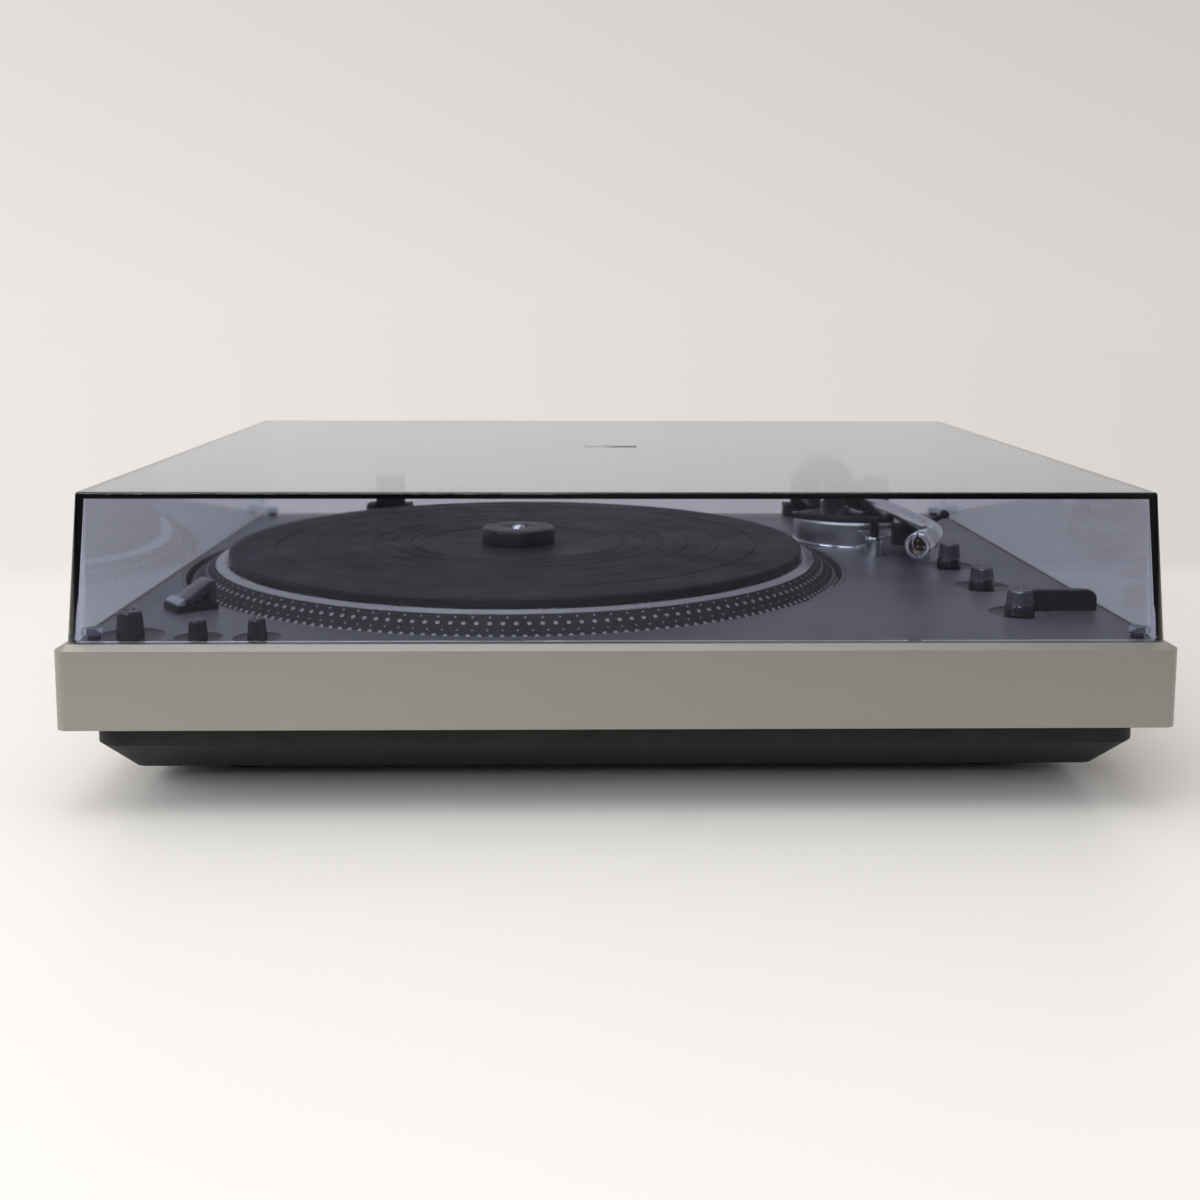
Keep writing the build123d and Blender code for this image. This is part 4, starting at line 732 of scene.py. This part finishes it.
# Tone-arm base: a thick satin flange screwed to the deck, with a lower shelf for the lifter, rest
# and dial. It is cast and turned, with a bright ring round its foot.
satin_silver = finish("satin_silver", (0.50, 0.50, 0.51), 0.30, metallic=0.9, grain=1500, relief=0.04, mottle=0.05)
arm_black = finish("arm_black", (0.009, 0.009, 0.010), 0.3, coat=0.1, grain=1500, relief=0.05, mottle=0.2)
arm_bright = finish("arm_bright", (0.74, 0.74, 0.76), 0.18, metallic=1.0, grain=1800, relief=0.02, mottle=0.04)
base = softened("tonearm_base", 0.5, segments=3)
seat(base, "arm_base_casting", "plinth", satin_silver)
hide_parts("tonearm_base")
base_low, base_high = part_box("tonearm_base")
base_radius = 31.5
base_centre = (base_low.x + base_radius * mm, base_high.y - base_radius * mm, deck_top)
base_ring = turned(
    [(base_radius - 0.1, 0.02), (base_radius + 1.0, 0.02), (base_radius + 1.0, 0.8), (base_radius + 0.6, 1.5),
     (base_radius - 0.1, 1.8), (base_radius - 0.1, 0.02)],
    steps=128,
    hollow=True,
)
seat(stand(base_ring, base_centre), "arm_base_ring", "plinth", arm_bright)
dress("arm_sleeve", satin_silver)


# Yoke and gimbal: a black turned yoke that swings on the base, with a bright pivot screw in each cheek,
# and the black block inside that the tube and the rear stub are pressed into.
yoke = softened("arm_yoke", 0.4)
seat(yoke, "arm_yoke_casting", "yoke", arm_black)
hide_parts("arm_yoke")
gimbal = softened("gimbal_block", 0.3)
seat(gimbal, "gimbal_turning", "tonearm", arm_black)
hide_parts("gimbal_block")
pivot = Vector(body_turn["yoke"]["pos_m"])
tilt_axis = Vector(body_turn["tonearm"]["axis"])
screws = []
cheek = 19.0
for side in (-1, 1):
    screw = turned(
        [(2.2, cheek), (2.2, cheek + 0.8), (1.9, cheek + 1.1), (0.9, cheek + 1.1), (0.7, cheek + 0.7)],
        steps=32,
    )
    screws.append(stand(screw, pivot, side * tilt_axis))
seat(joined(screws), "pivot_screws", "yoke", steel)


# Arm: a bent aluminium tube ending in a turned collar with a ribbed locking nut, whose brown
# insulator holds four gold contacts for the headshell.
dress("arm_tube", arm_bright)
collar = softened("arm_collar", 0.2)
seat(collar, "collar_turning", "tonearm", arm_bright)
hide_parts("arm_collar")
collar_mouth = Vector((0.1391, -0.0951, pivot.z))
collar_axis = Vector((0.0204, 0.0401, 0)).normalized()
nut = turned(
    [(5.9, 5.0), (6.05, 5.0), (6.15, 5.2), (6.15, 10.1), (6.05, 10.3), (5.9, 10.3), (5.9, 5.0)],
    steps=48,
    hollow=True,
)
fluted(nut, 5.2, 10.1, 0.12, 0.14)
seat(stand(nut, collar_mouth, collar_axis), "collar_ribs", "tonearm", arm_bright)
socket_brown = finish("socket_brown", (0.05, 0.032, 0.024), 0.5, grain=1500, relief=0.1)
gold = finish("contact_gold", (0.80, 0.58, 0.25), 0.25, metallic=1.0, grain=1800)
dress("socket_plug", socket_brown)
dress("socket_contacts", gold)


# Balance: a bright rear stub with a black ribbed dial, ticked in white, and a ribbed counterweight.
# Both are turned in metal and fit round the stub, and the dial's ticks stand a little proud.
dress("rear_stub", arm_bright)
back_axis = Vector(body_turn["dial"]["axis"])
dial = turned(
    [(12.3, 35.0), (13.0, 35.5), (13.0, 38.4), (12.3, 39.0), (4.04, 39.0), (4.04, 35.0), (12.3, 35.0)],
    steps=72,
    hollow=True,
)
fluted(dial, 35.5, 38.4, 0.2, 0.2)
seat(stand(dial, pivot, back_axis), "force_dial_ring", "dial", gloss_black)
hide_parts("force_dial")
bpy.ops.object.select_all(action="DESELECT")
bpy.ops.mesh.primitive_cube_add(size=1, location=(0, 10.6 * mm, 34.98 * mm))
ticks = bpy.context.object
ticks.scale = (0.3 * mm, 2.2 * mm, 0.16 * mm)
bpy.ops.object.transform_apply(location=True, rotation=True, scale=True)
around(ticks, 30, (0, 0, 0))
seat(stand(ticks, pivot, back_axis), "force_dial_ticks", "dial", pointer_white)
weight = turned(
    [(13.8, 42.0), (15.0, 43.1), (15.0, 46.6), (14.5, 47.0), (14.5, 47.9), (15.0, 48.3), (15.0, 61.9),
     (13.8, 63.0), (8.4, 63.0), (8.0, 62.4), (4.04, 62.4), (4.04, 42.0), (13.8, 42.0)],
    steps=96,
    hollow=True,
)
fluted(weight, 48.3, 61.9, 0.22, 0.22)
seat(stand(weight, pivot, back_axis), "ribbed_weight", "weight", puck_black)
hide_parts("counterweight")


# Lifter, rest and anti-skate dial: a silver damping cylinder with a black bar on its piston,
# a black moulded rest with its swinging clip, and a small ribbed dial on the shelf.
cylinder_low, cylinder_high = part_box("lifter_cylinder")
foot, top = cylinder_low.z / mm, cylinder_high.z / mm
cylinder = turned(
    [(4.9, foot), (4.9, top - 4.4), (4.6, top - 4.2), (4.6, top - 3.6), (4.9, top - 3.4), (4.9, top - 0.6),
     (4.7, top - 0.2), (4.3, top), (2.7, top), (2.4, top - 0.3), (2.4, foot + 1.0)],
    steps=64,
)
cylinder_centre = ((cylinder_low.x + cylinder_high.x) / 2, (cylinder_low.y + cylinder_high.y) / 2, 0)
seat(stand(cylinder, cylinder_centre), "lifter_barrel", "plinth", arm_bright)
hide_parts("lifter_cylinder")
for node, body, width in (("lifter_bar", "lifter", 0.5), ("arm_rest", "plinth", 0.4), ("rest_clip", "clip", 0.3)):
    piece = softened(node, width)
    seat(piece, node + "_moulding", body, black_moulding)
    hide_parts(node)
small_low, small_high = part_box("antiskate_dial")
foot, top = small_low.z / mm, small_high.z / mm
small_x, small_y = (small_low.x + small_high.x) / 2, (small_low.y + small_high.y) / 2
small_dial = turned(
    [(1.5, foot), (1.5, top - 5.5), (5.4, top - 5.5), (5.6, top - 5.2), (5.3, top - 0.9), (5.0, top - 0.3),
     (4.4, top), (3.8, top), (3.6, top - 0.25), (0.6, top - 0.25)],
    steps=48,
)
fluted(small_dial, top - 5.2, top - 0.9, 0.12, 0.14)
seat(stand(small_dial, (small_x, small_y, 0)), "antiskate_knob", "antiskate", gloss_black)
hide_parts("antiskate_dial")
pointed(small_x, small_y, small_high.z - 0.2 * mm, 5.0, 30, "antiskate_pointer", "antiskate")


# Dust cover: one moulding of polished smoke acrylic, with a small blank plate let into its top
# and four soft pads under its corners.
acrylic = bpy.data.materials.new("smoke_acrylic")
acrylic.use_nodes = True
tree = acrylic.node_tree
shader = tree.nodes["Principled BSDF"]
shader.inputs["Base Color"].default_value = (1, 1, 1, 1)
shader.inputs["Transmission Weight"].default_value = 1.0
shader.inputs["IOR"].default_value = 1.49
shader.inputs["Coat Weight"].default_value = 0.35
shader.inputs["Coat IOR"].default_value = 1.3
shader.inputs["Coat Roughness"].default_value = 0.03
place = tree.nodes.new("ShaderNodeTexCoord")
haze = tree.nodes.new("ShaderNodeTexNoise")
haze.inputs["Scale"].default_value = 9.0
haze.inputs["Detail"].default_value = 5.0
gloss = tree.nodes.new("ShaderNodeMapRange")
gloss.inputs["From Min"].default_value = 0.35
gloss.inputs["From Max"].default_value = 0.75
gloss.inputs["To Min"].default_value = 0.01
gloss.inputs["To Max"].default_value = 0.06
tree.links.new(place.outputs["Object"], haze.inputs["Vector"])
tree.links.new(haze.outputs["Fac"], gloss.inputs["Value"])
tree.links.new(gloss.outputs["Result"], shader.inputs["Roughness"])
clear = tree.nodes.new("ShaderNodeBsdfTransparent")
clear.inputs["Color"].default_value = (0.80, 0.80, 0.83, 1)
path = tree.nodes.new("ShaderNodeLightPath")
either = tree.nodes.new("ShaderNodeMath")
either.operation = "MAXIMUM"
blend = tree.nodes.new("ShaderNodeMixShader")
tree.links.new(path.outputs["Is Shadow Ray"], either.inputs[0])
tree.links.new(path.outputs["Is Diffuse Ray"], either.inputs[1])
tree.links.new(either.outputs["Value"], blend.inputs["Fac"])
tree.links.new(shader.outputs["BSDF"], blend.inputs[1])
tree.links.new(clear.outputs["BSDF"], blend.inputs[2])
tree.links.new(blend.outputs["Shader"], tree.nodes["Material Output"].inputs["Surface"])
smoke = tree.nodes.new("ShaderNodeVolumeAbsorption")
smoke.inputs["Color"].default_value = (0.43, 0.46, 0.62, 1)
smoke.inputs["Density"].default_value = 210.0
tree.links.new(smoke.outputs["Volume"], tree.nodes["Material Output"].inputs["Volume"])
dress("dust_cover", acrylic)
badge_plate = finish(
    "badge_plate", (0.30, 0.30, 0.31), 0.10, metallic=0.5, coat=0.5, grain=1500, relief=0.01, mottle=0.04
)
badge = softened("lid_badge", 0.15)
seat(badge, "blank_badge", "lid", badge_plate)
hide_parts("lid_badge")
dress("lid_bumpers", foot_rubber)


# Hinges: forked black brackets on the cabinet's rear rim, moulded leaves up the cover's rear wall,
# and the steel pins that join them.
for node, body in (("hinge_brackets", "plinth"), ("hinge_leaves", "lid")):
    piece = softened(node, 0.4)
    seat(piece, node + "_moulding", body, black_moulding)
    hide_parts(node)
dress("hinge_pins", steel)


# Rear sockets: a recessed black box with two nickel phono sockets in white insulators and a knurled
# earth post, and a black mains inlet with two nickel pins.
nickel = finish("nickel_plate", (0.72, 0.70, 0.66), 0.2, metallic=1.0, grain=1500)
nylon = finish("nylon", (0.75, 0.74, 0.70), 0.5, grain=1000)
for node in ("terminal_box", "mains_inlet"):
    piece = softened(node, 0.4)
    seat(piece, node + "_moulding", "plinth", black_moulding)
    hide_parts(node)
phono_low, phono_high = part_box("phono_sockets")
socket_radius = 4.1
insulators = []
shells = []
for x in (phono_low.x + socket_radius * mm, phono_high.x - socket_radius * mm):
    centre = (x, phono_low.y, phono_low.z + socket_radius * mm)
    ring = turned(
        [(5.9, 0.02), (5.9, 1.2), (5.5, 1.6), (4.15, 1.6), (4.15, 0.02), (5.9, 0.02)],
        steps=48,
        hollow=True,
    )
    insulators.append(stand(ring, centre, (0, 1, 0)))
    shell = turned(
        [(socket_radius, 0.0), (socket_radius, 8.4), (3.8, 8.9), (3.5, 9.0), (3.2, 8.7), (3.2, 7.6), (1.6, 7.6),
         (1.6, 0.0), (socket_radius, 0.0)],
        steps=48,
        hollow=True,
    )
    shells.append(stand(shell, centre, (0, 1, 0)))
seat(joined(insulators), "phono_insulators", "plinth", nylon)
phono = seat(joined(shells), "phono_shells", "plinth", nickel)
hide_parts("phono_sockets")
earth_low, earth_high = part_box("earth_terminal")
earth = turned(
    [(2.0, 0.0), (2.0, 3.0), (3.9, 3.0), (4.2, 3.3), (4.2, 7.2), (3.9, 7.5), (2.0, 7.5), (2.0, 8.6), (1.6, 9.0),
     (0.3, 9.0)],
    steps=36,
)
fluted(earth, 3.3, 7.2, 0.12, 0.16)
stand(earth, ((earth_low.x + earth_high.x) / 2, earth_low.y, (earth_low.z + earth_high.z) / 2), (0, 1, 0))
seat(earth, "earth_post", "plinth", nickel)
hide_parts("earth_terminal")
inlet_low, inlet_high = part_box("mains_inlet")
inlet_middle = (inlet_low.x + inlet_high.x) / 2
inlet_level = (inlet_low.z + inlet_high.z) / 2
recess_depth = 16
pin_spread = 4.3
pins = []
for x in (-pin_spread, pin_spread):
    pin = turned([(1.23, 0.02), (1.23, 9.2), (0.95, 9.9), (0.2, 10.03)], steps=24)
    pins.append(stand(pin, (inlet_middle + x * mm, inlet_high.y - recess_depth * mm, inlet_level), (0, 1, 0)))
seat(joined(pins), "inlet_pins", "plinth", nickel)


# Works: the motor's coils, board and bearing under the platter, and the transformer and drive board
# in the tub. The coils are wound in copper, the core is stacked steel and the bearing is bronze.
bronze = finish("bronze", (0.55, 0.36, 0.16), 0.35, metallic=1.0, grain=1200)
alloy_cast = finish("cast_alloy", (0.55, 0.55, 0.55), 0.45, metallic=1.0, grain=900, relief=0.2)
copper = finish("enamelled_copper", (0.55, 0.20, 0.08), 0.3, metallic=1.0, grain=2000, stretch=(1, 1, 6))
laminated = finish(
    "laminated_steel", (0.20, 0.20, 0.21), 0.5, metallic=0.8, grain=900, stretch=(1, 12, 1), relief=0.3
)
tape = finish("winding_tape", (0.62, 0.48, 0.10), 0.45, grain=1000)
board_green = finish("board_green", (0.03, 0.13, 0.06), 0.35, grain=700, mottle=0.2)
for node, material in (
    ("transformer_bracket", chassis_zinc),
    ("transformer_core", laminated),
    ("transformer_coil", tape),
    ("drive_board", board_green),
    ("board_components", black_moulding),
    ("bearing_housing", alloy_cast),
    ("thrust_pad", nylon),
    ("bearing_bush", bronze),
    ("stator_board", board_green),
    ("stator_coils", copper),
):
    dress(node, material)
